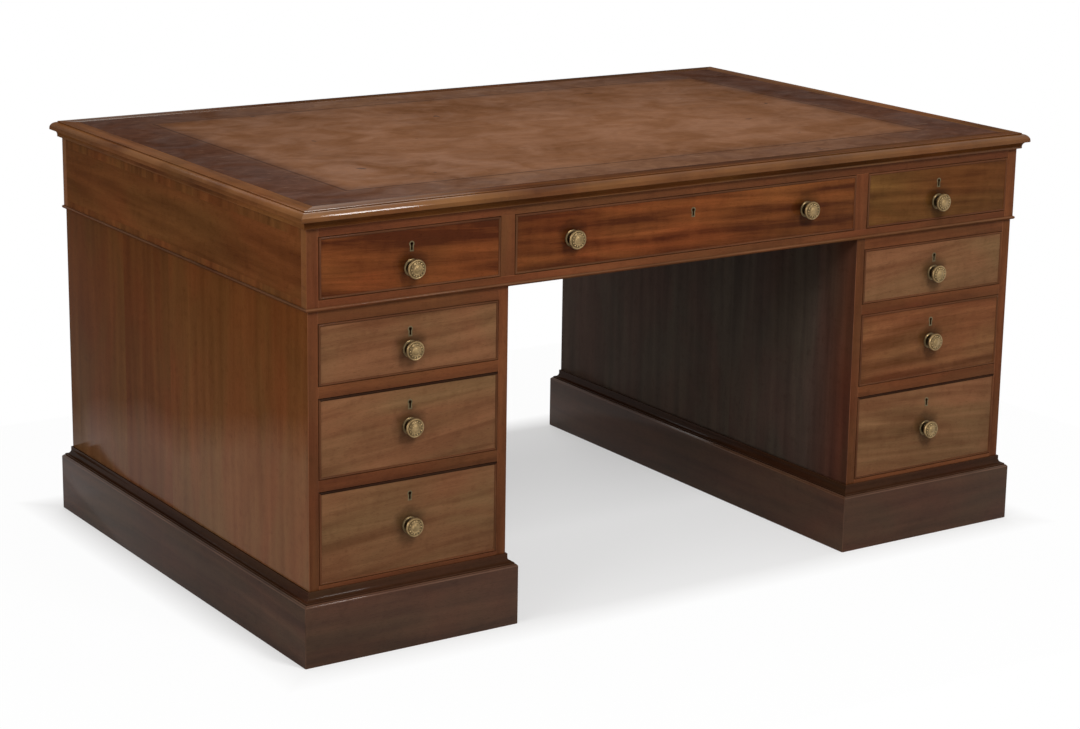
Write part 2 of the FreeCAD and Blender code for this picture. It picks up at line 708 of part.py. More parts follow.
class Drawer:
    """A cock-beaded, dovetailed drawer, made in the frame of its opening: x from the middle,
    y from the face of the carcase inwards, z from the rail below."""

    def __init__(self, name, width, height, length, tails, knobs, has_muntin=False):
        self.name = name
        self.length = length
        self.tails = tails
        self.knobs = knobs
        self.has_muntin = has_muntin
        self.outer = f"({width} / 2 - front_gap)"
        self.inner = f"({self.outer} - drawer_side)"
        self.front_low = "front_gap"
        self.front_high = f"({height} - front_gap)"
        self.side_low = "running_clearance"
        self.side_high = f"({height} - side_headroom)"
        self.bottom_top = "(bottom_rise + drawer_bottom)"
        self.back_high = f"({self.side_high} - back_drop)"
        self.back_face = f"({length} - drawer_back)"
        self.keyhole_level = f"({height} - keyhole_drop)"
        self.front_pieces = [self.front()] + self.cock_beads()
        self.box_pieces = self.sides() + [self.back()] + self.bottom()
        self.brass_pieces = self.brassware()

    def front(self):
        """The front: rebated for its beads, socketed for the sides' tails, grooved for the
        bottom, and cut for the lock and its keyhole."""
        front = new_body(f"{self.name}Front")
        face = sketch(front, f"{self.name}FrontFace", "XZ_Plane")
        across = (f"-{self.outer}", self.outer)
        rectangle(face, across, (self.front_low, self.front_high))
        pad(front, f"{self.name}FrontPad", face, "front_thickness", reverse=True)
        rebate = sketch(front, f"{self.name}Rebate", "XZ_Plane")
        rectangle(rebate, across, (self.front_low, self.front_high))
        inset = f"({self.outer} - cock_bead_width)"
        rectangle(rebate, (f"-{inset}", inset),
                  (f"{self.front_low} + cock_bead_width", f"{self.front_high} - cock_bead_width"))
        pocket(front, f"{self.name}RebateCut", rebate, "cock_bead_depth")
        self.cut_sockets(front, f"{self.name}Socket", "front_thickness", "dovetail_lap",
                         self.side_low, self.side_high, self.tails)
        behind = "-front_thickness"
        groove = sketch(front, f"{self.name}Groove", "XZ_Plane", behind)
        rectangle(groove, (f"-{self.inner}", self.inner), ("bottom_rise", self.bottom_top))
        pocket(front, f"{self.name}GrooveCut", groove, "groove_depth", reverse=True)
        lock = sketch(front, f"{self.name}LockSeat", "YZ_Plane", "lock_width / 2")
        outline(lock, lock_section(self.front_high))
        pocket(front, f"{self.name}LockSeatCut", lock, "lock_width")
        eye = sketch(front, f"{self.name}Keyhole", "XZ_Plane")
        keyhole(eye, "0", self.keyhole_level)
        pocket(front, f"{self.name}KeyholeCut", eye)
        return front

    def cut_sockets(self, body, name, root, tip, low, high, tails):
        """Cuts both ends of a front or back for the tails of the sides."""
        pitch = f"(({high}) - ({low})) / {tails}"
        drawing = sketch(body, name, "YZ_Plane", self.outer)
        tail_outline(drawing, root, tip, f"{low} + {pitch} / 2", pitch)
        socket = pocket(body, f"{name}Cut", drawing, "drawer_side")
        repeat_upwards(body, socket, drawing, pitch, tails, both_ends=True)

    def cock_beads(self):
        """Four mitred beads round the front, their eased edges proud of its face."""
        half_height = f"(({self.front_high} - {self.front_low}) / 2)"
        shoulder = "cock_bead_proud - cock_bead_chamfer"
        steps = [
            ("0", "-cock_bead_depth"),
            ("cock_bead_width", "-cock_bead_depth"),
            ("cock_bead_width", shoulder),
            ("cock_bead_width - cock_bead_chamfer", "cock_bead_proud"),
            ("cock_bead_chamfer", "cock_bead_proud"),
            ("0", shoulder),
        ]
        beads = mitred_frame(f"{self.name}Bead", self.outer, half_height, "cock_bead_width",
                             "-cock_bead_depth", steps)
        middle = f"{self.front_low} + {half_height}"
        return [group(f"{self.name}Beads", beads, z=middle, turn=FORWARD)]

    def sides(self):
        """Both sides, tailed at the front and the back and grooved for the bottom."""
        side = new_body(f"{self.name}Side")
        lift = f"-{self.outer}"
        face = sketch(side, f"{self.name}SideFace", "YZ_Plane", lift)
        rectangle(face, ("dovetail_lap", self.length), (self.side_low, self.side_high))
        pad(side, f"{self.name}SidePad", face, "drawer_side")
        pin_gaps(side, f"{self.name}FrontPins", lift, "front_thickness", "dovetail_lap",
                 self.side_low, self.side_high, self.tails)
        pin_gaps(side, f"{self.name}BackPins", lift, self.back_face, self.length,
                 self.bottom_top, self.back_high, "back_tails")
        groove = sketch(side, f"{self.name}SideGroove", "YZ_Plane", f"-{self.inner}")
        rectangle(groove, ("front_thickness - groove_depth", self.length),
                  ("bottom_rise", self.bottom_top))
        pocket(side, f"{self.name}SideGrooveCut", groove, "groove_depth")
        return [side, mirror_image(side)]

    def back(self):
        """The back, which stands on the bottom and stops short of the sides' upper edges."""
        back = new_body(f"{self.name}Back")
        face = sketch(back, f"{self.name}BackFace", "XZ_Plane", f"-{self.back_face}")
        rectangle(face, (f"-{self.outer}", self.outer), (self.bottom_top, self.back_high))
        pad(back, f"{self.name}BackPad", face, "drawer_back", reverse=True)
        self.cut_sockets(back, f"{self.name}BackSocket", self.back_face, self.length,
                         self.bottom_top, self.back_high, "back_tails")
        return back

    def bottom(self):
        """The bottom in its grooves, in two halves with a muntin between them if it is wide."""
        y = ("front_thickness - groove_depth", self.length)
        z = ("bottom_rise", self.bottom_top)
        edge = f"({self.inner} + groove_depth)"
        if not self.has_muntin:
            return [board(f"{self.name}Bottom", (f"-{edge}", edge), y, z)]
        web = "(muntin_width / 2 - groove_depth)"
        halves = [board(f"{self.name}Bottom", on_side(sign, web, edge), y, z) for sign in (-1, 1)]
        return halves + [self.muntin(web)]

    def muntin(self, web):
        """The grooved bar that joins the two halves of a wide bottom, tenoned behind the front."""
        muntin = new_body(f"{self.name}Muntin")
        section = sketch(muntin, f"{self.name}MuntinSection", "XZ_Plane", "-front_thickness")
        half, low = "muntin_width / 2", "bottom_rise - muntin_lip"
        high = f"{self.bottom_top} + muntin_lip"
        outline(section, [
            (f"-{half}", low),
            (half, low),
            (half, "bottom_rise"),
            (web, "bottom_rise"),
            (web, self.bottom_top),
            (half, self.bottom_top),
            (half, high),
            (f"-{half}", high),
            (f"-{half}", self.bottom_top),
            (f"-{web}", self.bottom_top),
            (f"-{web}", "bottom_rise"),
            (f"-{half}", "bottom_rise"),
        ])
        pad(muntin, f"{self.name}MuntinPad", section, f"{self.back_face} - front_thickness", reverse=True)
        return muntin

    def brassware(self):
        """Lock and knobs."""
        lock = new_body(f"{self.name}Lock")
        section = sketch(lock, f"{self.name}LockSection", "YZ_Plane", "-lock_width / 2")
        outline(section, lock_section(self.front_high))
        pad(lock, f"{self.name}LockPad", section, "lock_width")
        knobs = [group(f"{self.name}Knob", KNOB, x=x, z=level) for x, level in self.knobs]
        return [lock] + knobs

    def place(self, name, **place):
        """Puts a copy of the drawer in an opening, as three nodes."""
        node(f"{name}_front", self.front_pieces, **place)
        node(f"{name}_box", self.box_pieces, **place)
        node(f"{name}_brassware", self.brass_pieces, **place)


def frieze_drawers():
    """Three drawers in each long side of the frieze."""
    short = Drawer("Short", "short_drawer_width", "frieze_drawer", "frieze_drawer_length",
                   "frieze_tails", [("0", "(frieze_drawer - frieze_knob_drop)")])
    knob_level = "(frieze_drawer - long_drawer_knob_drop)"
    knobs = [(f"{sign}long_drawer_knob_spacing / 2", knob_level) for sign in ("-", "")]
    long = Drawer("Long", "long_drawer_width", "frieze_drawer", "frieze_drawer_length",
                  "frieze_tails", knobs, has_muntin=True)
    half_turn = Rotation(Vector(0, 0, 1), 180)
    for side, y, turn in (("front", "-frieze_face", Rotation()), ("back", "frieze_face", half_turn)):
        for drawer, where, x in (
            (short, "left", "-short_drawer_centre"),
            (long, "middle", "0"),
            (short, "right", "short_drawer_centre"),
        ):
            drawer.place(f"{side}_frieze_{where}_drawer", x=x, y=y, z="frieze_level", turn=turn)


def pedestal_drawers():
    """Three graduated drawers in the front of each pedestal."""
    for kind in ("lower", "middle", "upper"):
        knobs = [("0", f"({kind}_drawer - {kind}_knob_drop)")]
        drawer = Drawer(kind.title(), "opening_width", f"{kind}_drawer", "pedestal_drawer_length",
                        f"{kind}_tails", knobs)
        for where, sign in (("left", "-"), ("right", "")):
            drawer.place(f"{where}_{kind}_drawer", x=f"{sign}pedestal_centre", y="-carcase_face",
                         z=f"{kind}_level")


# ---------------------------------------------------------------- cupboard doors

DOOR_LOW = "(lower_level + door_gap)"
DOOR_HIGH = "(upper_top - door_gap)"
DOOR_INNER = "(opening_inner + door_gap)"
DOOR_OUTER = "(opening_outer - door_gap)"
DOOR_BACK = "(carcase_face - door_thickness)"
LOCK_LEVEL = "((lower_level + upper_top) / 2)"
LOCK_X = "(opening_inner + door_lock_setback)"
KNOB_LEVEL = f"({LOCK_LEVEL} - door_knob_drop)"
GROOVE_LOW = f"({DOOR_BACK} + (door_thickness - panel_groove_width) / 2)"
GROOVE_HIGH = f"({GROOVE_LOW} + panel_groove_width)"
TENON_LOW = f"({DOOR_LOW} + tenon_shoulder)"
TENON_HIGH = f"({DOOR_HIGH} - tenon_shoulder)"
RAIL_TENON = "(door_rail_width - tenon_shoulder - panel_groove_depth)"


def door_stile(name, edge, toward):
    """A stile as a section through X and Y, grooved for the panel and mortised for the rails.
    Its outside edge is at 'edge', and 'toward' points from there to the panel."""
    stile = new_body(name)
    section = sketch(stile, f"{name}Section", "XY_Plane", DOOR_LOW)
    inside = f"{edge} {toward} stile_width"
    groove = f"{edge} {toward} (stile_width - panel_groove_depth)"
    outline(section, [
        (edge, DOOR_BACK),
        (inside, DOOR_BACK),
        (inside, GROOVE_LOW),
        (groove, GROOVE_LOW),
        (groove, GROOVE_HIGH),
        (inside, GROOVE_HIGH),
        (inside, "carcase_face"),
        (edge, "carcase_face"),
    ])
    pad(stile, f"{name}Pad", section, f"{DOOR_HIGH} - {DOOR_LOW}")
    mortises = sketch(stile, f"{name}Mortises", "XZ_Plane", f"-{GROOVE_LOW}")
    bottom = f"{edge} {toward} (stile_width - tenon_length)"
    for low in (TENON_LOW, f"({TENON_HIGH} - {RAIL_TENON})"):
        rectangle(mortises, (bottom, groove), (low, f"{low} + {RAIL_TENON}"))
    pocket(stile, f"{name}MortiseCut", mortises, "panel_groove_width")
    return stile


def door_rail(name, low, tenon_low, groove_at_top):
    """A rail between the stiles, with a tenon at each end and a groove for the panel."""
    rail = new_body(name)
    left, right = f"{DOOR_INNER} + stile_width", f"{DOOR_OUTER} - stile_width"
    face = sketch(rail, f"{name}Face", "XZ_Plane", f"-{DOOR_BACK}")
    rectangle(face, (left, right), (low, f"{low} + door_rail_width"))
    pad(rail, f"{name}Pad", face, "door_thickness", reverse=True)
    tenon = sketch(rail, f"{name}Tenons", "XZ_Plane", f"-{GROOVE_LOW}")
    rectangle(tenon, (f"{left} - tenon_length", f"{right} + tenon_length"),
              (tenon_low, f"{tenon_low} + {RAIL_TENON}"))
    pad(rail, f"{name}TenonPad", tenon, "panel_groove_width", reverse=True)
    groove = sketch(rail, f"{name}Groove", "XZ_Plane", f"-{GROOVE_LOW}")
    edge = f"{low} + door_rail_width - panel_groove_depth" if groove_at_top else low
    rectangle(groove, (left, right), (edge, f"{edge} + panel_groove_depth"))
    pocket(rail, f"{name}GrooveCut", groove, "panel_groove_width")
    return rail


def door_panel():
    """The raised and fielded panel: a tongue in the grooves and bevels up to the field."""
    panel = new_body("DoorPanel")
    reach = "(panel_groove_depth - panel_clearance)"
    left, right = f"({DOOR_INNER} + stile_width)", f"({DOOR_OUTER} - stile_width)"
    low, high = f"({DOOR_LOW} + door_rail_width)", f"({DOOR_HIGH} - door_rail_width)"
    tongue = sketch(panel, "PanelTongue", "XZ_Plane", f"-{GROOVE_LOW}")
    rectangle(tongue, (f"{left} - {reach}", f"{right} + {reach}"),
              (f"{low} - {reach}", f"{high} + {reach}"))
    pad(panel, "PanelTonguePad", tongue, "panel_groove_width", reverse=True)
    bevel = panel.newObject("PartDesign::AdditiveWedge", "PanelBevel")
    for prop, formula in (
        ("Xmin", left),
        ("Xmax", right),
        ("X2min", f"{left} + panel_bevel"),
        ("X2max", f"{right} - panel_bevel"),
        ("Ymin", GROOVE_HIGH),
        ("Ymax", f"{GROOVE_HIGH} + panel_raise"),
        ("Zmin", low),
        ("Zmax", high),
        ("Z2min", f"{low} + panel_bevel"),
        ("Z2max", f"{high} - panel_bevel"),
    ):
        bevel.setExpression(prop, bound(formula))
    document.recompute()
    return panel


def door_lock_section():
    """The section of a door lock through X and Y: its case behind, its selvedge on the edge."""
    case_front = f"{DOOR_BACK} + lock_depth"
    selvedge_front = "carcase_face - cock_bead_depth"
    selvedge_back = f"{DOOR_INNER} + selvedge_thickness"
    return [
        (DOOR_INNER, DOOR_BACK),
        (f"{DOOR_INNER} + lock_height", DOOR_BACK),
        (f"{DOOR_INNER} + lock_height", case_front),
        (selvedge_back, case_front),
        (selvedge_back, selvedge_front),
        (DOOR_INNER, selvedge_front),
    ]


def fit_lock_stile(stile):
    """Cuts the lock stile for the lock and its keyhole."""
    seat = sketch(stile, "DoorLockSeat", "XY_Plane", f"{LOCK_LEVEL} - lock_width / 2")
    outline(seat, door_lock_section())
    pocket(stile, "DoorLockSeatCut", seat, "lock_width", reverse=True)
    eye = sketch(stile, "DoorKeyhole", "XZ_Plane", "-carcase_face")
    keyhole(eye, LOCK_X, LOCK_LEVEL)
    pocket(stile, "DoorKeyholeCut", eye, reverse=True)


def fit_hinge_stile(stile):
    """Cuts the hinge stile's edge for the moving leaves of the hinges."""
    seats = sketch(stile, "DoorHingeSeats", "YZ_Plane", DOOR_OUTER)
    for level in ("lower_hinge", "upper_hinge"):
        rectangle(seats, ("carcase_face - leaf_width", "carcase_face"), (level, f"{level} + hinge_height"))
    pocket(stile, "DoorHingeSeatCut", seats, "hinge_recess")


def hinge_leaf(name, plate, knuckles):
    """One leaf of a butt hinge that stands on z = 0: a plate, and the knuckles that it carries."""
    leaf = new_body(name)
    flat = sketch(leaf, f"{name}Plate", "XY_Plane")
    rectangle(flat, plate, ("carcase_face - leaf_width", "carcase_face"))
    pad(leaf, f"{name}PlatePad", flat, "hinge_height")
    for number, level in enumerate(knuckles):
        neck = sketch(leaf, f"{name}Neck{number}", "XY_Plane", level)
        rectangle(neck, plate, ("carcase_face", "hinge_axis_y"))
        pad(leaf, f"{name}NeckPad{number}", neck, "knuckle_height")
        barrel = sketch(leaf, f"{name}Barrel{number}", "XY_Plane", level)
        circle(barrel, "hinge_axis_x", "hinge_axis_y", "knuckle_radius")
        pad(leaf, f"{name}BarrelPad{number}", barrel, "knuckle_height")
    return leaf


def hinges():
    """The fixed leaves with their pins, and the moving leaves, of two hinges to each door."""
    fixed_plate = ("opening_outer - (leaf_thickness - hinge_recess)", "opening_outer + hinge_recess")
    moving_plate = (f"{DOOR_OUTER} - hinge_recess", f"{DOOR_OUTER} + leaf_thickness - hinge_recess")
    upper_knuckle = "hinge_height - knuckle_height"
    fixed = hinge_leaf("FixedLeaf", fixed_plate, ("0", upper_knuckle))
    moving = hinge_leaf("MovingLeaf", moving_plate, ("knuckle_height + knuckle_gap",))
    hole = sketch(moving, "MovingLeafHole", "XY_Plane")
    circle(hole, "hinge_axis_x", "hinge_axis_y", "pin_radius + pin_clearance")
    pocket(moving, "MovingLeafHoleCut", hole, reverse=True)
    pin = document.addObject("Part::Cylinder", "HingePin")
    pin.setExpression("Radius", bound("pin_radius"))
    pin.setExpression("Height", bound(f"{upper_knuckle} - knuckle_height"))
    pin.setExpression(".Placement.Base.x", bound("hinge_axis_x"))
    pin.setExpression(".Placement.Base.y", bound("hinge_axis_y"))
    pin.setExpression(".Placement.Base.z", bound("knuckle_height"))
    levels = ("lower_hinge", "upper_hinge")
    fixed_right = [group("FixedHinge", [fixed, pin], z=level) for level in levels]
    moving_right = [group("MovingHinge", [moving], z=level) for level in levels]
    node("fixed_hinge_leaves", fixed_right + [mirror_image(piece) for piece in fixed_right])
    return moving_right


def cupboard_doors():
    """A framed and panelled door in the back of each pedestal, the left one a mirror image."""
    outer_stile = door_stile("HingeStile", DOOR_OUTER, "-")
    fit_hinge_stile(outer_stile)
    inner_stile = door_stile("LockStile", DOOR_INNER, "+")
    fit_lock_stile(inner_stile)
    bottom_rail = door_rail("DoorBottomRail", DOOR_LOW, TENON_LOW, True)
    top_rail = door_rail("DoorTopRail", f"({DOOR_HIGH} - door_rail_width)",
                         f"({TENON_HIGH} - {RAIL_TENON})", False)
    lock = new_body("DoorLock")
    section = sketch(lock, "DoorLockSection", "XY_Plane", f"{LOCK_LEVEL} - lock_width / 2")
    outline(section, door_lock_section())
    pad(lock, "DoorLockPad", section, "lock_width")
    half_turn = Rotation(Vector(0, 0, 1), 180)
    door_knob = group("DoorKnob", KNOB, x=LOCK_X, y="carcase_face", z=KNOB_LEVEL, turn=half_turn)
    pieces = {
        "frame": [outer_stile, inner_stile, bottom_rail, top_rail],
        "panel": [door_panel()],
        "brassware": [lock, door_knob],
        "hinge_leaves": hinges(),
    }
    for kind, right_pieces in pieces.items():
        node(f"left_door_{kind}", [mirror_image(piece) for piece in right_pieces])
        node(f"right_door_{kind}", right_pieces)


# ---------------------------------------------------------------- the desk

top()
top_border()
frieze()
frieze_runners()
frieze_bead()
pedestal_sides()
pedestal_insides()
plinths()
frieze_drawers()
pedestal_drawers()
cupboard_doors()
document.recompute()

failed = [item.Label for item in document.Objects if {"Invalid", "Error"} & set(item.State)]
if failed:
    raise RuntimeError(f"failed objects: {failed}")
for part in nodes:
    if part.Shape.isNull() or not part.Shape.isValid():
        raise RuntimeError(f"{part.Label} has no valid shape")

os.makedirs("parts", exist_ok=True)
for part in nodes:
    part.Shape.exportStep(os.path.join("parts", f"{part.Label}.step"))
    print(part.Label, len(part.Shape.Solids), "solids")
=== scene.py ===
import json
import math
import random

import bmesh
import bpy
from mathutils import Matrix, Quaternion, Vector

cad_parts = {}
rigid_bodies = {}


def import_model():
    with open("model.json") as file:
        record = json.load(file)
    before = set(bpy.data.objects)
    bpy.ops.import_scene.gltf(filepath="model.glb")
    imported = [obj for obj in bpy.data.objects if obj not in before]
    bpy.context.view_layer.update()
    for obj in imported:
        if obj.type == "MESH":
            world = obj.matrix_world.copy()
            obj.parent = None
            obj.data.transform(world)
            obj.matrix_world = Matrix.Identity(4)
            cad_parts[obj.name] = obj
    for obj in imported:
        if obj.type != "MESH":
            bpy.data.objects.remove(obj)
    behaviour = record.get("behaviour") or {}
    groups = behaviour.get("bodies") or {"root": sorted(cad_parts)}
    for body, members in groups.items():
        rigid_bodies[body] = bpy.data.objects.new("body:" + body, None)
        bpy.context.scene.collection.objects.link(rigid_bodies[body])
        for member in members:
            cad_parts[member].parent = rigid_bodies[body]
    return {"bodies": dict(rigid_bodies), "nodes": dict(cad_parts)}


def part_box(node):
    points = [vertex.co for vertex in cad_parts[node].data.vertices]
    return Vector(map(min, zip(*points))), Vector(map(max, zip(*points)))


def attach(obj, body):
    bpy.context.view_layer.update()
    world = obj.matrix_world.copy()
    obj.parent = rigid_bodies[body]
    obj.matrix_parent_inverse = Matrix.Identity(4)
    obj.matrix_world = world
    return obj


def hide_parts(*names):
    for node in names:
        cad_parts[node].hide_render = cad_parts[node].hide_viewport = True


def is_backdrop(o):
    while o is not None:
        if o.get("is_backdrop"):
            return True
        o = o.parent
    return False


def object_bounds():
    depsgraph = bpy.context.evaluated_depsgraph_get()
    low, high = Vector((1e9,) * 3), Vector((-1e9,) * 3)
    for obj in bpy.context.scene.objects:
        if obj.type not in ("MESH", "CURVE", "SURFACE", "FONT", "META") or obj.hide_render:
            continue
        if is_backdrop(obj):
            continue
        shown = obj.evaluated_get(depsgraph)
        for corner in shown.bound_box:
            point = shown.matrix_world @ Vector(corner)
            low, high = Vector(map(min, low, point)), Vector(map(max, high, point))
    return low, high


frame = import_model()
solid_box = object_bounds()

# A mahogany partners desk, in metres. +X runs along the desk, -Y is the side whose pedestals hold
# drawers, and +Z is up.

ALONG_X, ALONG_Y, ALONG_Z = range(3)


# ------------------------------------------------------------------------------- plinths
# Each pedestal stands on four dark mahogany boards, mitred at the corners and glued to blocks
# behind them. A cove moulding in four mitred lengths is planted on top, in a darker mahogany that
# paints the shade in its hollow.

ARRIS = math.radians(30)  # an edge that turns further than this is eased with glasspaper
CURVE = math.radians(25)  # an edge that turns less than this lies on a curve
FLAT = math.radians(2)  # an edge that turns less than this lies within a flat
TRUE = math.radians(0.5)  # triangles that turn less than this are one flat face
LOG_SIZE = 40  # metres of wood from which the boards are cut at random
dice = random.Random(7)


def solids(node):
    """The node's solids, each as a list of triangles. The triangles of a solid follow each other,
    and the solid is whole when each of its edges has been met from both sides."""
    mesh = frame["nodes"][node].data
    triangles, open_edges = [], set()
    for polygon in mesh.polygons:
        corners = [tuple(mesh.vertices[number].co) for number in polygon.vertices]
        triangles.append(corners)
        for start, end in zip(corners, corners[1:] + corners[:1]):
            if (end, start) in open_edges:
                open_edges.remove((end, start))
            else:
                open_edges.add((start, end))
        if not open_edges:
            yield triangles
            triangles = []


def new_shape():
    """An empty mesh that remembers for each corner of a face where it lies in its board's grain,
    the board's own tone or how soiled its brass is (on the knobs' roses partly painted shade), how
    much it is worn (on the top's border and the frieze bead partly a painted highlight), and its
    way from a knob."""
    shape = bmesh.new()
    shape.loops.layers.float_vector.new("grain")
    shape.loops.layers.float.new("tone")
    shape.loops.layers.float.new("worn")
    shape.loops.layers.float_vector.new("knob")
    return shape


def from_triangles(triangles):
    """One solid as a mesh of its own, with flat faces whole again."""
    shape = new_shape()
    corner = {point: shape.verts.new(point) for triangle in triangles for point in triangle}
    for triangle in triangles:
        shape.faces.new([corner[point] for point in triangle])
    bmesh.ops.dissolve_limit(
        shape, angle_limit=TRUE, verts=shape.verts, edges=shape.edges)
    return shape


def mark(shape, layer, faces, amount):
    """Stores a number for some faces of a shape."""
    values = shape.loops.layers.float[layer]
    for face in faces:
        for loop in face.loops:
            loop[values] = amount


def wear(shape, faces, amount):
    """Marks faces as worn by hands."""
    mark(shape, "worn", faces, amount)


def ease(shape, width, segments=2):
    """Rounds every arris of the shape and marks the new faces as worn."""
    sharp = [edge for edge in shape.edges if edge.calc_face_angle(0) > ARRIS]
    rounded = bmesh.ops.bevel(
        shape, geom=sharp, offset=width, offset_type="OFFSET", affect="EDGES", segments=segments,
        profile=0.5, material=-1, clamp_overlap=True)
    wear(shape, rounded["faces"], 1)


def corners_of(points):
    """The lowest and the highest corner of a box round some points."""
    return Vector(map(min, zip(*points))), Vector(map(max, zip(*points)))


def extent(shape):
    """The lowest and the highest corner of a shape."""
    return corners_of([vert.co for vert in shape.verts])


def cut(shape, place, axis):
    """Scores a shape right round, across the axis."""
    normal = Vector([float(number == axis) for number in range(3)])
    bmesh.ops.bisect_plane(shape, geom=shape.verts[:] + shape.edges[:] + shape.faces[:],
                           plane_co=normal * place, plane_no=normal)


def one_board(shape, faces, axis, tone=None, slant=0.0):
    """Lays one board's grain along the axis, or slanting a little, over some of a shape's faces.
    Each board is cut from its own place in the wood."""
    low, high = extent(shape)
    across = [number for number in range(3) if number != axis]
    across.sort(key=lambda number: low[number] - high[number])
    start = Vector([dice.uniform(0, LOG_SIZE) for _ in range(3)])
    grain, tones = shape.loops.layers.float_vector["grain"], shape.loops.layers.float["tone"]
    tone = dice.uniform(-1, 1) if tone is None else tone
    for face in faces:
        for loop in face.loops:
            point = loop.vert.co
            rise = point[across[0]] + slant * point[axis]
            loop[grain] = start + Vector((point[axis], rise, point[across[1]]))
            loop[tones] = tone


def lay_grain(shape, axis=None, joints=()):
    """Lays the grain along the axis, or along the shape's longest side. Boards that are glued up
    along Y meet at the joints, and each of them has its own grain and tone."""
    low, high = extent(shape)
    size = high - low
    if axis is None:
        axis = max(range(3), key=lambda number: size[number])
    boards = [[] for _ in range(len(joints) + 1)]
    for face in shape.faces:
        boards[sum(face.calc_center_median().y > joint for joint in joints)].append(face)
    for faces in boards:
        one_board(shape, faces, axis)


def finished(shape):
    """Sets which edges of the shape are shaded as a curve."""
    for face in shape.faces:
        face.smooth = True
    for edge in shape.edges:
        edge.smooth = edge.calc_face_angle(math.pi) < CURVE


def joined(shapes):
    """Several shapes as one, each still a separate surface."""
    whole = new_shape()
    for shape in shapes:
        part = bpy.data.meshes.new("part")
        shape.to_mesh(part)
        whole.from_mesh(part)
        bpy.data.meshes.remove(part)
        shape.free()
    return whole


def placed(name, data):
    """A new object in the scene."""
    made = bpy.data.objects.new(name, data)
    bpy.context.scene.collection.objects.link(made)
    return made


def piece(name, shapes, material, body, slot, replaced):
    """One object of the desk from one or more shapes, which rides on a body and takes the place of
    a node's plain solids."""
    whole = joined(shapes)
    finished(whole)
    mesh = bpy.data.meshes.new(name)
    whole.to_mesh(mesh)
    whole.free()
    mesh.materials.append(material)
    made = placed(name, mesh)
    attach(made, body)
    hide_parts(*replaced)
    return made


def boards(node, width=0.0005, axis=None, joints=(), chosen=None):
    """The boards of a node, or those of them that are chosen, with arrises eased to a width."""
    shapes = []
    for number, triangles in enumerate(solids(node)):
        if chosen is not None and number not in chosen:
            continue
        shape = from_triangles(triangles)
        for joint in joints:
            cut(shape, joint, ALONG_Y)
        ease(shape, width)
        lay_grain(shape, axis, joints)
        shapes.append(shape)
    return shapes


def add(tree, kind, sockets=None, **settings):
    """A shader node with its settings, and its sockets set to values or joined to other sockets."""
    made = tree.nodes.new(kind)
    for name, setting in settings.items():
        setattr(made, name, setting)
    for name, source in (sockets or {}).items():
        if isinstance(source, bpy.types.NodeSocket):
            tree.links.new(source, made.inputs[name])
        else:
            made.inputs[name].default_value = source
    return made


def new_group(name, inputs, outputs):
    """An empty node group and its two end nodes."""
    tree = bpy.data.node_groups.new(name, "ShaderNodeTree")
    for direction, sockets in (("INPUT", inputs), ("OUTPUT", outputs)):
        for socket, kind in sockets.items():
            tree.interface.new_socket(socket, in_out=direction, socket_type=f"NodeSocket{kind}")
    return tree, tree.nodes.new("NodeGroupInput"), tree.nodes.new("NodeGroupOutput")


def noise(tree, vector, stretch, detail=3, distortion=0.0):
    """Noise over a vector, whose blots are about 1 / stretch metres long."""
    mapped = add(tree, "ShaderNodeMapping", {"Vector": vector, "Scale": stretch})
    made = add(tree, "ShaderNodeTexNoise", {
        "Vector": mapped.outputs[0], "Scale": 1, "Detail": detail, "Distortion": distortion})
    return made.outputs[0]


def ranged(tree, source, low, high, to_low=0.0, to_high=1.0):
    """A value moved from one range to another and held there."""
    return add(tree, "ShaderNodeMapRange", {
        "Value": source, "From Min": low, "From Max": high, "To Min": to_low, "To Max": to_high,
    }).outputs[0]


def calc(tree, operation, first, second=0.0):
    """One step of arithmetic on two values."""
    made = add(tree, "ShaderNodeMath", {0: first, 1: second}, operation=operation)
    return made.outputs[0]


def summed(tree, *parts):
    """The sum of several values, each given with its share."""
    total = 0.0
    for source, share in parts:
        total = calc(tree, "ADD", calc(tree, "MULTIPLY", source, share), total)
    return total


def mixed(tree, amount, first, second, blend="MIX"):
    """Two colours mixed."""
    made = add(tree, "ShaderNodeMix", {0: amount, 6: first, 7: second},
               data_type="RGBA", blend_type=blend)
    return made.outputs[2]


FIGURE_MIDDLE = 0.59  # the mean of the figure before its contrast is set
TONE_SHARE = 0.14  # how far a board's own tone shifts its figure

# What the colour of a wood is multiplied with, in red, green and blue.
GREENER, REDDER = (0.96, 1.06, 1.0, 1), (1.06, 0.95, 0.92, 1)
IN_PORES = (0.35, 0.3, 0.3, 1)
# The paler, greyer tint below paints the pale floor's reflection on a polished side.
PAINTED_SHEEN_TINT = (1.55, 2.2, 4.2, 1)
DARKENED = (0.55, 0.47, 0.43, 1)
DARKENING_TINT = (0.32, 0.36, 0.34, 1)
FRONT_RED = (1.15, 0.62, 0.45, 1)


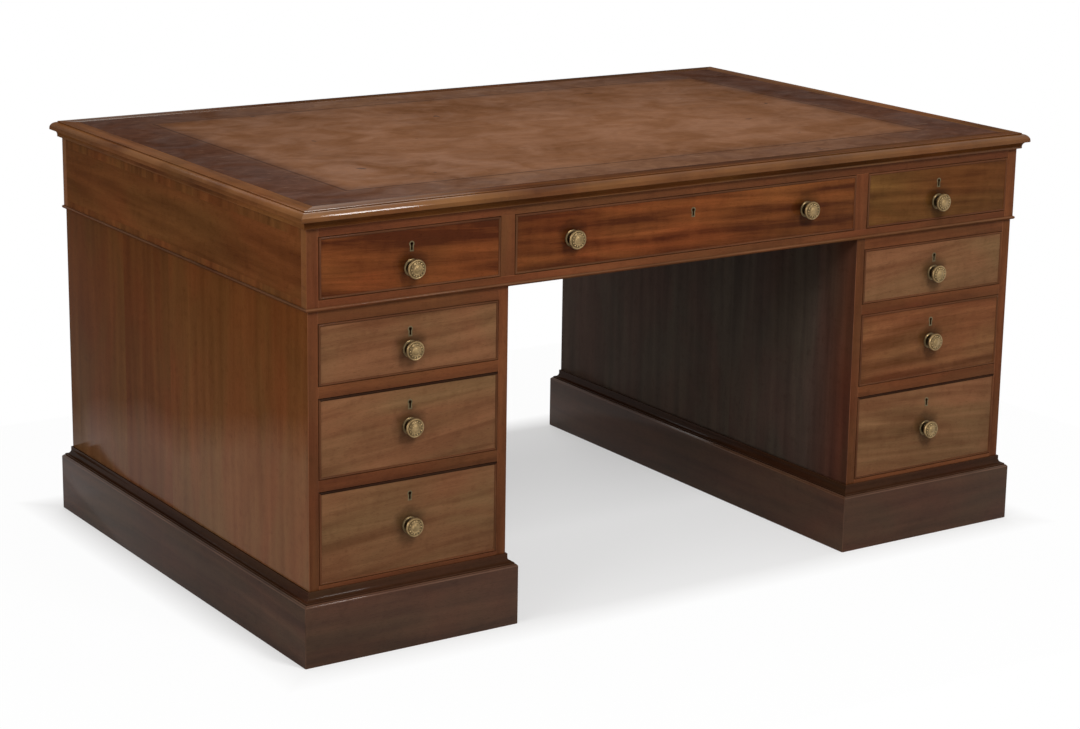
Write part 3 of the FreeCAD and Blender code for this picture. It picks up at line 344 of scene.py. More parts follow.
def make_wood_group():
    """Figured wood: broad flames, streaks and short dark pores along the grain."""
    tree, given, result = new_group(
        "wood figure",
        {"Grain": "Vector", "Tone": "Float", "Pale": "Color", "Deep": "Color", "Contrast": "Float"},
        {"Color": "Color", "Pores": "Float"})
    grain = given.outputs["Grain"]
    flames = ranged(tree, noise(tree, grain, (1.7, 13, 13), 4, 1.4), 0.34, 0.66)
    streaks = ranged(tree, noise(tree, grain, (3.2, 48, 48), 4, 0.7), 0.35, 0.65)
    fibres = ranged(tree, noise(tree, grain, (22, 800, 800), 2), 0.3, 0.7)
    fiddle = ranged(tree, noise(tree, grain, (17, 6, 6), 2, 1.3), 0.35, 0.65)
    pores = ranged(tree, noise(tree, grain, (130, 2300, 2300), 1), 0.6, 0.72)
    mapped = add(tree, "ShaderNodeMapping", {"Vector": grain, "Scale": (0.75, 7, 7)})
    rings = add(tree, "ShaderNodeTexWave", {
        "Vector": mapped.outputs[0], "Scale": 1.3, "Distortion": 9, "Detail": 3,
        "Detail Scale": 0.8, "Detail Roughness": 0.55}, bands_direction="Y").outputs["Fac"]
    figure = summed(tree, (flames, 0.44), (streaks, 0.34), (fibres, 0.1), (fiddle, 0.1),
                    (rings, 0.2))
    figure = calc(tree, "SUBTRACT", figure, FIGURE_MIDDLE)
    figure = summed(tree, (figure, given.outputs["Contrast"]), (given.outputs["Tone"], TONE_SHARE))
    figure = calc(tree, "ADD", figure, 0.5)
    colour = mixed(tree, ranged(tree, figure, 0, 1), given.outputs["Deep"], given.outputs["Pale"])
    reddish = ranged(tree, noise(tree, grain, (3.2, 9, 9), 3, 0.8), 0.36, 0.64)
    colour = mixed(tree, 1, colour, mixed(tree, reddish, GREENER, REDDER), "MULTIPLY")
    dark = mixed(tree, 1, colour, IN_PORES, "MULTIPLY")
    colour = mixed(tree, calc(tree, "MULTIPLY", pores, 0.55), colour, dark)
    tree.links.new(colour, result.inputs["Color"])
    tree.links.new(pores, result.inputs["Pores"])
    return tree


def make_polish_group():
    """Old polish: clouds where it has darkened; a darkening where asked for, round knobs and
    towards the back of a side; a paler, greyer tint that paints the floor's reflection where asked
    for; and arrises rubbed pale in places."""
    tree, given, result = new_group(
        "old polish",
        {"Color": "Color", "Worn": "Float", "Darkening": "Float", "Rubbed": "Color",
         "Clouds": "Float", "Painted sheen": "Float"},
        {"Color": "Color", "Clouds": "Float"})
    place = add(tree, "ShaderNodeTexCoord").outputs["Object"]
    clouds = ranged(tree, noise(tree, place, (3.1, 3.1, 4.3), 4), 0.35, 0.7)
    specks = ranged(tree, noise(tree, place, (60, 60, 60), 3), 0.56, 0.7)
    rubbed = ranged(tree, noise(tree, place, (5, 6, 9), 4), 0.3, 0.64)
    rubbed = calc(tree, "MULTIPLY", given.outputs["Worn"], rubbed)
    sheened_colour = mixed(tree, 1, given.outputs["Color"], PAINTED_SHEEN_TINT, "MULTIPLY")
    start = mixed(tree, given.outputs["Painted sheen"], given.outputs["Color"], sheened_colour)
    deep = mixed(tree, 1, start, DARKENED, "MULTIPLY")
    amount = calc(tree, "MULTIPLY", clouds, given.outputs["Clouds"])
    colour = mixed(tree, amount, start, deep)
    colour = mixed(tree, calc(tree, "MULTIPLY", specks, 0.22), colour, deep)
    # Darker where soiled round knobs, and towards the back of an outer side.
    dirty = mixed(tree, 1, given.outputs["Color"], DARKENING_TINT, "MULTIPLY")
    colour = mixed(tree, given.outputs["Darkening"], colour, dirty)
    colour = mixed(tree, calc(tree, "MULTIPLY", rubbed, 0.6), colour, given.outputs["Rubbed"])
    tree.links.new(colour, result.inputs["Color"])
    tree.links.new(clouds, result.inputs["Clouds"])
    return tree


wood_figure = make_wood_group()
old_polish = make_polish_group()


def empty_tree(owner):
    """The shader tree of a material or world, with no node in it."""
    owner.use_nodes = True
    owner.node_tree.nodes.clear()
    return owner.node_tree


def new_material(name, metallic=0.0, gloss=0.5, haze=0.13):
    """A material with its shader and no other node. Gloss is how much it mirrors straight on, and
    haze is how rough its polish is."""
    material = bpy.data.materials.new(name)
    tree = empty_tree(material)
    shader = add(tree, "ShaderNodeBsdfPrincipled", {
        "Metallic": metallic, "Specular IOR Level": gloss, "Coat Roughness": haze})
    add(tree, "ShaderNodeOutputMaterial", {"Surface": shader.outputs[0]})
    return material, tree, shader


def bump(tree, shader, height, depth):
    """Relief of a depth in metres."""
    made = add(tree, "ShaderNodeBump", {"Height": height, "Strength": 0.6, "Distance": depth})
    tree.links.new(made.outputs[0], shader.inputs["Normal"])


def read(tree, layer, output="Fac"):
    """What a mesh remembers at each point."""
    return add(tree, "ShaderNodeAttribute", attribute_name=layer).outputs[output]


def grimy_round_knobs(tree):
    """Soiling that thins out a few centimetres from a knob."""
    away = read(tree, "knob", "Vector")
    reach = add(tree, "ShaderNodeVectorMath", {0: away}, operation="LENGTH").outputs["Value"]
    uneven = summed(tree, (noise(tree, away, (45, 45, 45)), 0.026), (reach, 1))
    return ranged(tree, uneven, 0.03, 0.05, 0.75, 0)


def painted_floor_sheen(tree):
    """How much paler, greyer and glossier an upright side is low down and at the front, a painted
    reflection of the pale floor, and how much darker it is towards its back."""
    place = add(tree, "ShaderNodeTexCoord").outputs["Object"]
    parts = add(tree, "ShaderNodeSeparateXYZ", {0: place}).outputs
    reached = summed(tree, (parts[1], -0.21), (parts[2], -1), (noise(tree, place, (6, 5, 3)), 0.1))
    painted_sheen = ranged(tree, reached, -0.28, -0.2)
    high = ranged(tree, parts[2], 0.62, 0.2)
    behind = summed(tree, (parts[1], 1), (noise(tree, place, (4, 4, 2)), 0.2))
    return summed(tree, (painted_sheen, 0.5), (high, 0.2)), ranged(tree, behind, 0.12, 0.62, 0, 0.42)


def redder_at_front(tree, colour):
    """Redder towards the front."""
    place = add(tree, "ShaderNodeTexCoord").outputs["Object"]
    depth = add(tree, "ShaderNodeSeparateXYZ", {0: place}).outputs[1]
    depth = summed(tree, (noise(tree, place, (6, 6, 3)), 0.08), (depth, -1))
    red = mixed(tree, 1, colour, FRONT_RED, "MULTIPLY")
    return mixed(tree, ranged(tree, depth, 0.41, 0.51), colour, red)


def wood(name, pale, deep, contrast=1.0, roughness=0.36, clouds=0.3, rubbed=None,
         shine=(0.08, 0.2), haze=0.13, handled=False, floor_sheen=False, red_at_front=False):
    """A wood with its figure under old polish. Shine is the polish on its flats and on its worn
    edges, and haze is its roughness. A handled wood is grimy round its knobs. With the floor sheen,
    a wood is paler, greyer and glossier low down and at the front, a painted reflection of the pale
    floor, and darker towards its back. With the red front, it is redder towards its front edge."""
    material, tree, shader = new_material(name, gloss=0, haze=haze)
    figure = add(tree, "ShaderNodeGroup", node_tree=wood_figure)
    tree.links.new(read(tree, "grain", "Vector"), figure.inputs["Grain"])
    tree.links.new(read(tree, "tone"), figure.inputs["Tone"])
    figure.inputs["Pale"].default_value = (*pale, 1)
    figure.inputs["Deep"].default_value = (*deep, 1)
    figure.inputs["Contrast"].default_value = contrast
    polish = add(tree, "ShaderNodeGroup", node_tree=old_polish)
    tree.links.new(figure.outputs["Color"], polish.inputs["Color"])
    worn = read(tree, "worn")
    tree.links.new(worn, polish.inputs["Worn"])
    polish.inputs["Rubbed"].default_value = (*(rubbed or [1.5 * part for part in pale]), 1)
    polish.inputs["Clouds"].default_value = clouds
    polished = ranged(tree, worn, 0, 1, *shine)
    if handled:
        tree.links.new(grimy_round_knobs(tree), polish.inputs["Darkening"])
    if floor_sheen:
        painted_sheen, darker_behind = painted_floor_sheen(tree)
        tree.links.new(painted_sheen, polish.inputs["Painted sheen"])
        tree.links.new(darker_behind, polish.inputs["Darkening"])
        polished = summed(tree, (painted_sheen, 0.22), (polished, 1))
    colour = polish.outputs["Color"]
    if red_at_front:
        colour = redder_at_front(tree, colour)
    tree.links.new(colour, shader.inputs["Base Color"])
    rough = ranged(tree, polish.outputs["Clouds"], 0, 1, roughness - 0.05, roughness + 0.1)
    rough = summed(tree, (figure.outputs["Pores"], 0.12), (rough, 1))
    tree.links.new(rough, shader.inputs["Roughness"])
    tree.links.new(polished, shader.inputs["Coat Weight"])
    bump(tree, shader, calc(tree, "SUBTRACT", 1, figure.outputs["Pores"]), 0.0001)
    return material


plinth_wood = wood("plinth mahogany", (0.096, 0.045, 0.0255), (0.046, 0.0225, 0.014), contrast=0.9,
                   roughness=0.4, clouds=0.4, rubbed=(0.17, 0.085, 0.05), shine=(0.22, 0.3))
# Painted shade: the cove moulding takes a darker copy of the plinth mahogany.
moulding_shade_wood = wood("moulding mahogany in painted shade", (0.055, 0.023, 0.011), (0.026, 0.011, 0.006),
                     contrast=0.9, clouds=0.4, rubbed=(0.1, 0.045, 0.022))

piece("plinth_boards.finished", boards("plinth_boards", 0.0012), plinth_wood,
      "carcase", "plinth_wood", ["plinth_boards"])
piece("plinth_mouldings.finished", boards("plinth_mouldings", 0.0004), moulding_shade_wood,
      "carcase", "plinth_wood", ["plinth_mouldings"])


# ------------------------------------------------------------------------------- pedestals
# Two carcases of mahogany sides, glued up from upright boards, with rails tenoned between them. The
# faces towards the kneehole are painted almost black as shade, redder towards their front edge, and
# the boards inside are plain pine, housed in the sides.

# The outer sides are painted paler and greyer low down and at the front, as the reflection of the
# pale floor, and are darker towards the back.
side_wood = wood("side mahogany", (0.165, 0.056, 0.014), (0.095, 0.028, 0.0065), contrast=0.7,
                 roughness=0.4, clouds=0.25, rubbed=(0.24, 0.1, 0.04), shine=(0.03, 0.12),
                 floor_sheen=True)
rail_wood = wood("rail mahogany", (0.168, 0.058, 0.022), (0.076, 0.024, 0.0095), roughness=0.38)
# Painted shade: a dark grey-brown copy of the mahogany for the faces in the kneehole.
kneehole_shade_wood = wood("kneehole mahogany in painted shade", (0.1, 0.068, 0.053), (0.05, 0.034, 0.028), contrast=0.8,
                     roughness=0.45, shine=(0.04, 0.08), red_at_front=True)
pine = wood("pine lining", (0.48, 0.3, 0.15), (0.27, 0.15, 0.07), contrast=0.8, roughness=0.6,
            clouds=0.4, shine=(0.02, 0.05))

INNER, OUTER = (0, 1), (2, 3)  # which solids are the sides towards the kneehole, and which away
OUTER_JOINTS = [0.033, 0.227]  # where along Y the upright boards meet
INNER_JOINTS = [-0.12]
SIDE_ARRIS = 0.0008


def second_wood(made, material, chosen):
    """Gives the chosen faces of a piece another material."""
    made.data.materials.append(material)
    for polygon in made.data.polygons:
        if chosen(polygon):
            polygon.material_index = 1


outer_sides = piece(
    "pedestal_sides.outer", boards("pedestal_sides", SIDE_ARRIS, ALONG_Z, OUTER_JOINTS, OUTER),
    side_wood, "carcase", "case_wood", ["pedestal_sides"])
second_wood(outer_sides, rail_wood, lambda face: abs(face.normal.x) < 0.5)
inner_sides = piece(
    "pedestal_sides.inner", boards("pedestal_sides", SIDE_ARRIS, ALONG_Z, INNER_JOINTS, INNER),
    rail_wood, "carcase", "case_wood", ["pedestal_sides"])

# The faces painted in shade are those that look towards the middle of the kneehole.
second_wood(inner_sides, kneehole_shade_wood, lambda face: face.normal.x * face.center.x < -0.2)
for node, material, slot in (("pedestal_rails", rail_wood, "case_wood"),
                             ("pedestal_boards", pine, "lining_wood"),
                             ("pedestal_runners", pine, "lining_wood")):
    piece(f"{node}.finished", boards(node), material, "carcase", slot, [node])


# ------------------------------------------------------------------------------- frieze
# The top section is a mahogany box of its own: crossbanded ends, rails above and below the drawers,
# upright dividers, a lengthwise spine with pine runners, and a small bead pinned round the bottom.

end_wood = wood("frieze mahogany", (0.175, 0.062, 0.017), (0.078, 0.024, 0.006), contrast=0.95,
                clouds=0.35, rubbed=(0.24, 0.1, 0.035), shine=(0.03, 0.12))
bead_wood = wood("bead mahogany", (0.13, 0.048, 0.02), (0.055, 0.02, 0.009), contrast=0.9,
                 roughness=0.34, rubbed=(0.2, 0.095, 0.045), shine=(0, 0.08))

BAND = 0.018  # the width of the crossbanding
FIELD_TONE, UPRIGHT_TONE, LEVEL_TONE = -0.4, 2.8, 0.6


def crossband(shape):
    """Veneers a frieze end with a long field inside a paler border, whose grain runs across it."""
    low, high = extent(shape)
    for place, axis in ((low.y + BAND, ALONG_Y), (high.y - BAND, ALONG_Y),
                        (low.z + BAND, ALONG_Z), (high.z - BAND, ALONG_Z)):
        cut(shape, place, axis)
    field, upright, level, edge = [], [], [], []
    for face in shape.faces:
        middle = face.calc_center_median()
        if abs(face.normal.y) > 0.5:
            edge.append(face)
        elif min(middle.y - low.y, high.y - middle.y) < BAND:
            upright.append(face)
        elif min(middle.z - low.z, high.z - middle.z) < BAND:
            level.append(face)
        else:
            field.append(face)
    one_board(shape, field, ALONG_Y, FIELD_TONE)
    one_board(shape, upright, ALONG_Y, UPRIGHT_TONE)
    one_board(shape, level, ALONG_Z, LEVEL_TONE)
    one_board(shape, edge, ALONG_Z)
    wear(shape, upright, 0.6)
    return shape


frieze_ends = piece(
    "frieze_ends.finished", [crossband(shape) for shape in boards("frieze_ends", 0.0006)],
    end_wood, "carcase", "case_wood", ["frieze_ends"])
second_wood(frieze_ends, rail_wood, lambda face: abs(face.normal.y) > 0.5)
piece("frieze_rails.finished", boards("frieze_rails"), rail_wood,
      "carcase", "case_wood", ["frieze_rails"])
piece("frieze_dividers.finished", boards("frieze_dividers", axis=ALONG_Z), rail_wood,
      "carcase", "case_wood", ["frieze_dividers"])
bead_lengths = boards("frieze_bead", 0.0003)
# The bead's upper faces are rubbed pale, partly wear and partly a painted highlight.
for length in bead_lengths:
    wear(length, [face for face in length.faces if face.normal.z > 0.1], 0.9)
piece("frieze_bead.finished", bead_lengths, bead_wood,
      "carcase", "case_wood", ["frieze_bead"])
piece("frieze_spine.finished", boards("frieze_spine"), pine,
      "carcase", "lining_wood", ["frieze_spine"])
soffit, *runners = boards("frieze_runners")
# The soffit over the kneehole takes the same painted shade.
piece("frieze_runners.soffit", [soffit], kneehole_shade_wood, "carcase", "case_wood", ["frieze_runners"])
piece("frieze_runners.finished", runners, pine, "carcase", "lining_wood", ["frieze_runners"])


# ------------------------------------------------------------------------------- top
# A pine board in a mitred mahogany border with a quirked ovolo edge. Its writing surface is a sheet
# of brown leather, let in flush, rubbed pale in the middle and tooled with a dark line.

border_wood = wood("border mahogany", (0.128, 0.045, 0.0125), (0.046, 0.015, 0.005), contrast=1.3,
                   roughness=0.32, clouds=0.4, rubbed=(0.4, 0.18, 0.055), shine=(0, 0.66),
                   haze=0.09)
border_end_wood = wood("border end mahogany", (0.19, 0.075, 0.023), (0.07, 0.024, 0.008),
                       contrast=1.3, clouds=0.4, rubbed=(0.27, 0.12, 0.045), shine=(0.02, 0.06))

WEAR_AND_HIGHLIGHT_END = -0.35  # the long edges are rubbed and shiny, with a painted highlight, from their left ends to here
LEVEL, UPWARDS = 0.97, 0.3  # how far up the normal of a level face points, and of a rising one


def rub_and_highlight_border(length, long_edge):
    """Marks a length of the border as worn: its roll most, its flat less, its hollow not at all. A
    long edge is worn less and less from its left end on, and its paler colour near that end is
    partly a painted highlight."""
    hollows = [edge for edge in length.edges if -CURVE < edge.calc_face_angle_signed(0) < -FLAT]
    rounds = [edge for edge in length.edges if FLAT < edge.calc_face_angle_signed(0) < CURVE]
    curved = {face for edge in rounds for face in edge.link_faces}
    wear(length, curved, 0.3)
    wear(length, {face for edge in hollows for face in edge.link_faces}, 0)
    wear(length, [face for face in curved if face.normal.z > UPWARDS], 1)
    wear(length, [face for face in length.faces if face.normal.z > LEVEL], 0.4)
    if not long_edge:
        return
    rubbed = length.loops.layers.float["worn"]
    for face in length.faces:
        if face.normal.z > UPWARDS:
            least = 0.1 if face.normal.z > LEVEL else 0.42
            for loop in face.loops:
                share = (WEAR_AND_HIGHLIGHT_END - loop.vert.co.x) / (solid_box[1].x + WEAR_AND_HIGHLIGHT_END)
                loop[rubbed] *= least + (1 - least) * max(0, share)


ends, sides = [], []
for length in boards("top_border", 0.0006):
    low, high = extent(length)
    long_edge = high.x - low.x > high.y - low.y
    if long_edge:
        cut(length, WEAR_AND_HIGHLIGHT_END, ALONG_X)
    rub_and_highlight_border(length, long_edge)
    (sides if long_edge else ends).append(length)
piece("top_border.sides", sides, border_wood, "carcase", "case_wood", ["top_border"])
piece("top_border.ends", ends, border_end_wood, "carcase", "case_wood", ["top_border"])
piece("top_panel.finished", boards("top_panel", axis=ALONG_X), pine,
      "carcase", "case_wood", ["top_panel"])

LINE_FROM_END = 0.111
LINE_FROM_SIDE = 0.086
LINE_WIDTH = 0.0032
STAINED, RUBBED = (0.12, 0.05, 0.022, 1), (0.255, 0.118, 0.06, 1)
RIM_DARK, RIM_PALE = (0.056, 0.023, 0.0135, 1), (0.1, 0.043, 0.026, 1)
ELBOWS_DARK, ELBOWS_PALE = (0.11, 0.05, 0.028, 1), (0.18, 0.09, 0.05, 1)
SCUFFED = (0.32, 0.19, 0.12, 1)
INK = (0.035, 0.022, 0.02, 1)
TOOLED = (0.03, 0.014, 0.01, 1)


def make_leather():
    """Old leather: pale and rubbed in the middle, dark and reddish outside the tooled line."""
    material, tree, shader = new_material("writing leather", gloss=0, haze=0.3)
    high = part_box("writing_leather")[1]
    place = add(tree, "ShaderNodeTexCoord").outputs["Object"]
    parts = add(tree, "ShaderNodeSeparateXYZ", {0: place}).outputs
    wobble = calc(tree, "SUBTRACT", noise(tree, place, (7, 7, 7)), 0.5)
    across = calc(tree, "SUBTRACT", calc(tree, "ABSOLUTE", parts[0]), high.x - LINE_FROM_END)
    along = calc(tree, "SUBTRACT", calc(tree, "ABSOLUTE", parts[1]), high.y - LINE_FROM_SIDE)
    outside = summed(tree, (calc(tree, "MAXIMUM", across, along), 1), (wobble, 0.003))
    line = ranged(tree, calc(tree, "ABSOLUTE", outside), LINE_WIDTH / 2, LINE_WIDTH, 1, 0)
    border_side = ranged(tree, outside, -0.03, 0.012)
    worn = ranged(tree, outside, -0.35, -0.02, 1, 0)
    clouds = ranged(tree, noise(tree, place, (2.6, 3.2, 3), 5, 1.2), 0.38, 0.64)
    patches = ranged(tree, noise(tree, place, (9, 10, 10), 6, 1.0), 0.37, 0.65)
    streaks = ranged(tree, noise(tree, place, (26, 34, 30), 5, 1.2), 0.37, 0.65)
    past_elbows = ranged(tree, calc(tree, "ABSOLUTE", parts[0]), 0.35, 0.68)
    pebbles = add(tree, "ShaderNodeTexVoronoi", {"Vector": place, "Scale": 620.0},
                  feature="DISTANCE_TO_EDGE").outputs[0]
    creases = ranged(tree, pebbles, 0, 0.12)
    scuffs = ranged(tree, noise(tree, place, (30, 240, 100), 3, 1.0), 0.62, 0.72)
    pale = summed(tree, (clouds, 0.28), (patches, 0.28), (streaks, 0.2), (worn, 0.32))
    colour = mixed(tree, pale, STAINED, RUBBED)
    blots = summed(tree, (clouds, 0.5), (streaks, 0.5))
    rim = mixed(tree, past_elbows, mixed(tree, blots, ELBOWS_DARK, ELBOWS_PALE),
                mixed(tree, blots, RIM_DARK, RIM_PALE))
    colour = mixed(tree, border_side, colour, rim)
    colour = mixed(tree, calc(tree, "MULTIPLY", scuffs, 0.25), colour, SCUFFED)
    ink = ranged(tree, noise(tree, place, (21, 21, 21), 2, 0.3), 0.735, 0.75)
    colour = mixed(tree, calc(tree, "MULTIPLY", ink, 0.6), colour, INK)
    colour = mixed(tree, calc(tree, "MULTIPLY", line, 0.55), colour, TOOLED)
    tree.links.new(colour, shader.inputs["Base Color"])
    tree.links.new(ranged(tree, patches, 0, 1, 0.5, 0.62), shader.inputs["Roughness"])
    tree.links.new(ranged(tree, patches, 0, 1, 0, 0.06), shader.inputs["Coat Weight"])
    bump(tree, shader, summed(tree, (creases, 0.3), (patches, 1), (line, -1)), 0.0002)
    return material


piece("writing_leather.finished", boards("writing_leather"), make_leather(),
      "carcase", "leather", ["writing_leather"])


# ------------------------------------------------------------------------------- drawers
# Each front is veneered mahogany with a thin cock bead let in round its edge. The sides and back
# are dovetailed pine with the bottom in grooves. The veneer of the frieze is redder and bolder.

frieze_front_wood = wood("frieze drawer mahogany", (0.215, 0.065, 0.018), (0.062, 0.0155, 0.005),
                         contrast=1.5, handled=True)
olive_front_wood = wood("olive drawer mahogany", (0.185, 0.078, 0.022), (0.075, 0.027, 0.008),
                        contrast=1.25, handled=True)
pedestal_front_wood = wood("pedestal drawer mahogany", (0.225, 0.112, 0.053),
                           (0.115, 0.05, 0.0215), contrast=1.15, handled=True)
red_front_wood = wood("red drawer mahogany", (0.225, 0.092, 0.038), (0.1, 0.034, 0.0125),
                      contrast=1.4, handled=True)
cock_bead_wood = wood("cock bead mahogany", (0.11, 0.041, 0.018), (0.05, 0.019, 0.01), contrast=0.8,
                      roughness=0.4, clouds=0.2, rubbed=(0.16, 0.065, 0.028), shine=(0.03, 0.06))
# Painted shadow: a near-black copy of the cock bead mahogany for a drawer's top bead, standing in
# for the shadow of the gap under the rail above it.
gap_shadow_bead_wood = wood("cock bead mahogany in painted gap shadow", (0.03, 0.013, 0.008), (0.014, 0.007, 0.004),
                       contrast=0.8, roughness=0.5, clouds=0.2, rubbed=(0.05, 0.022, 0.012),
                       shine=(0, 0.02))

COCK_BEAD_WIDTH = 0.004
FRONT_SLANT = 0.1  # how far the figure of a front may slant either way
ODD_FRONTS = {"front_frieze_right_drawer": olive_front_wood, "right_middle_drawer": red_front_wood}
FRONT_TONES = {
    "front_frieze_left_drawer": -1.9, "front_frieze_middle_drawer": -0.2,
    "front_frieze_right_drawer": -0.6, "left_upper_drawer": -0.3, "left_lower_drawer": -0.8,
    "right_middle_drawer": -1.6, "right_lower_drawer": -0.8}
SHADOW_GAP_ABOVE = ("left_middle_drawer", "left_lower_drawer", "right_lower_drawer")


def middle_of(triangles):
    """The middle of a solid."""
    low, high = corners_of([point for triangle in triangles for point in triangle])
    return (low + high) / 2


def lock_and_roses(holder):
    """The solids of the lock in a drawer or door, and of the rose under each of its knobs. After
    the lock, each knob has a rose, a neck and a head."""
    lock, *turnings = solids(f"{holder}_brassware")
    return lock, turnings[::3]


def measure_from(shape, knobs):
    """Stores the way from the nearest knob to each corner of a front."""
    from_knob = shape.loops.layers.float_vector["knob"]
    for face in shape.faces:
        middle = face.calc_center_median()
        nearest = min(knobs, key=lambda knob: abs(knob.x - middle.x))
        for loop in face.loops:
            loop[from_knob] = loop.vert.co - nearest


drawers = sorted(body for body in frame["bodies"] if body.endswith("_drawer"))
for drawer in drawers:
    front, *beads = [from_triangles(triangles) for triangles in solids(f"{drawer}_front")]
    lock, roses = lock_and_roses(drawer)
    cut(front, middle_of(lock).x, ALONG_X)  # as each half of a long front has a knob of its own
    ease(front, 0.0003)
    one_board(front, front.faces, ALONG_X, FRONT_TONES.get(drawer, 0),
              dice.uniform(-FRONT_SLANT, FRONT_SLANT))
    measure_from(front, [middle_of(rose) for rose in roses])
    for bead in beads:
        ease(bead, 0.00055, 3)
        lay_grain(bead)
    usual_wood = frieze_front_wood if "frieze" in drawer else pedestal_front_wood
    piece(f"{drawer}_front.veneered", [front], ODD_FRONTS.get(drawer, usual_wood), drawer,
          "drawer_wood", [f"{drawer}_front"])
    edging = piece(f"{drawer}_front.cock_beads", beads, cock_bead_wood, drawer, "drawer_wood",
                   [f"{drawer}_front"])
    # Above these drawers the top bead is painted dark as the shadow of the gap under the rail.
    if drawer in SHADOW_GAP_ABOVE:
        upper_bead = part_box(f"{drawer}_front")[1].z - COCK_BEAD_WIDTH
        second_wood(edging, gap_shadow_bead_wood, lambda face: face.center.z > upper_bead)
    piece(f"{drawer}_box.finished", boards(f"{drawer}_box", 0.0004), pine, drawer, "lining_wood",
          [f"{drawer}_box"])


# ------------------------------------------------------------------------------- brassware
# Turned and stamped brass: a rose against the wood, a neck, and a domed head with a ring of small
# beads round a boss. A bolt runs through the front to a square nut behind it. A brass lock is let
# into the front behind a small keyhole with a brass lining.

DIRT_AND_SHADE = (0.045, 0.032, 0.017, 1)


def make_brass(name, bright, dull, roughness):
    """Brass gone brown, bright only where hands rub it, and darkened by its tone: soiled in its
    hollows, and on the knobs' roses partly as painted shade.
    """
    material, tree, shader = new_material(name, metallic=1.0)
    place = add(tree, "ShaderNodeTexCoord").outputs["Object"]
    tarnish = ranged(tree, noise(tree, place, (90, 90, 90), 4, 0.5), 0.35, 0.65)
    specks = ranged(tree, noise(tree, place, (420, 420, 420), 2), 0.55, 0.7)
    amount = summed(tree, (tarnish, 0.6), (specks, 0.3))
    colour = mixed(tree, amount, (*bright, 1), (*dull, 1))
    colour = mixed(tree, calc(tree, "MULTIPLY", read(tree, "tone"), 0.8), colour, DIRT_AND_SHADE)
    tree.links.new(colour, shader.inputs["Base Color"])
    tree.links.new(ranged(tree, amount, 0, 1, roughness - 0.06, roughness + 0.14),
                   shader.inputs["Roughness"])
    bump(tree, shader, tarnish, 0.0001)
    return material


brass = make_brass("knob brass", (0.35, 0.24, 0.115), (0.11, 0.074, 0.033), 0.38)
lock_brass = make_brass("lock brass", (0.5, 0.39, 0.21), (0.2, 0.145, 0.07), 0.4)

ROSE = [(0, 0), (0.0148, 0), (0.015, 0.0006), (0.0148, 0.0013), (0.0139, 0.0018), (0.0136, 0.0017),
        (0.0128, 0.0025), (0.0112, 0.003), (0.0072, 0.003), (0.0066, 0.0034)]
HEAD = [(0.0066, 0.0034), (0.0062, 0.0055), (0.0061, 0.0078), (0.0069, 0.0098), (0.0092, 0.0112),
        (0.013, 0.0119), (0.0158, 0.0133), (0.017, 0.0154), (0.017, 0.0171), (0.0161, 0.0187),
        (0.0146, 0.0192), (0.0137, 0.0187), (0.0129, 0.0186), (0.0098, 0.0203), (0.009, 0.0203),
        (0.0078, 0.0199), (0.0064, 0.0204), (0.0058, 0.0212), (0.0044, 0.0219), (0.0028, 0.0222),
        (0.0014, 0.0226), (0, 0.0228)]
DIRTY_RING = (0.0092, 0.0138)  # between these radii, on the face
DIRTY_NECK = (0.0026, 0.0115)  # between these heights
ROSE_TOP = 0.004
FACE_LEVEL = 0.018
KNOB_BEADS = 14
KNOB_BEAD_RADIUS = 0.0017
KNOB_BEAD_PLACE = (0.0113, 0, 0.0192)


def spun(profile, steps=40):
    """A turned shape about the Z axis from its profile, a list of (radius, height)."""
    shape = new_shape()
    points = [shape.verts.new((radius, 0, height)) for radius, height in profile]
    edges = [shape.edges.new(pair) for pair in zip(points, points[1:])]
    bmesh.ops.spin(shape, geom=points + edges, cent=(0, 0, 0), axis=(0, 0, 1), dvec=(0, 0, 0),
                   angle=2 * math.pi, steps=steps, use_merge=True, use_duplicate=False)
    bmesh.ops.remove_doubles(shape, verts=shape.verts, dist=1e-6)
    bmesh.ops.recalc_face_normals(shape, faces=shape.faces)
    # The neck and the ring between the beads are soiled. The rose is darkened partly as tarnish and
    # partly as painted shade under the head.
    dirt_and_shade = shape.loops.layers.float["tone"]
    for face in shape.faces:
        for loop in face.loops:
            point = loop.vert.co
            in_ring = DIRTY_RING[0] < point.xy.length < DIRTY_RING[1] and point.z > FACE_LEVEL
            on_neck = DIRTY_NECK[0] < point.z < DIRTY_NECK[1]
            on_rose = point.z < ROSE_TOP
            loop[dirt_and_shade] = 1.0 if on_neck else 0.75 if in_ring or on_rose else 0.0
    return shape


def knob(place):
    """A knob at the origin that faces +Z, put in its place."""
    shapes = [spun(ROSE + HEAD[1:])]
    for number in range(KNOB_BEADS):
        bead = new_shape()
        turn = Matrix.Rotation(2 * math.pi * number / KNOB_BEADS, 4, "Z")
        bmesh.ops.create_icosphere(bead, subdivisions=2, radius=KNOB_BEAD_RADIUS,
                                   matrix=turn @ Matrix.Translation(KNOB_BEAD_PLACE))
        shapes.append(bead)
    for shape in shapes:
        shape.transform(place)
    return shapes


def facing(point, direction):
    """The place of something that stands upright on a wall and faces away from it."""
    turn = Vector(direction).to_track_quat("Z", "Y")
    return Matrix.Translation(point) @ turn.to_matrix().to_4x4()


EYE = 0.0029  # the radius of a keyhole's round top
SLOT = 0.0032  # the width of its slot
FOOT = 0.0108  # how far the slot reaches below the middle of the round
LINER = 0.0021  # how wide its brass shows
LINER_SUNK = 0.0025
LINER_HEIGHT = 0.0027


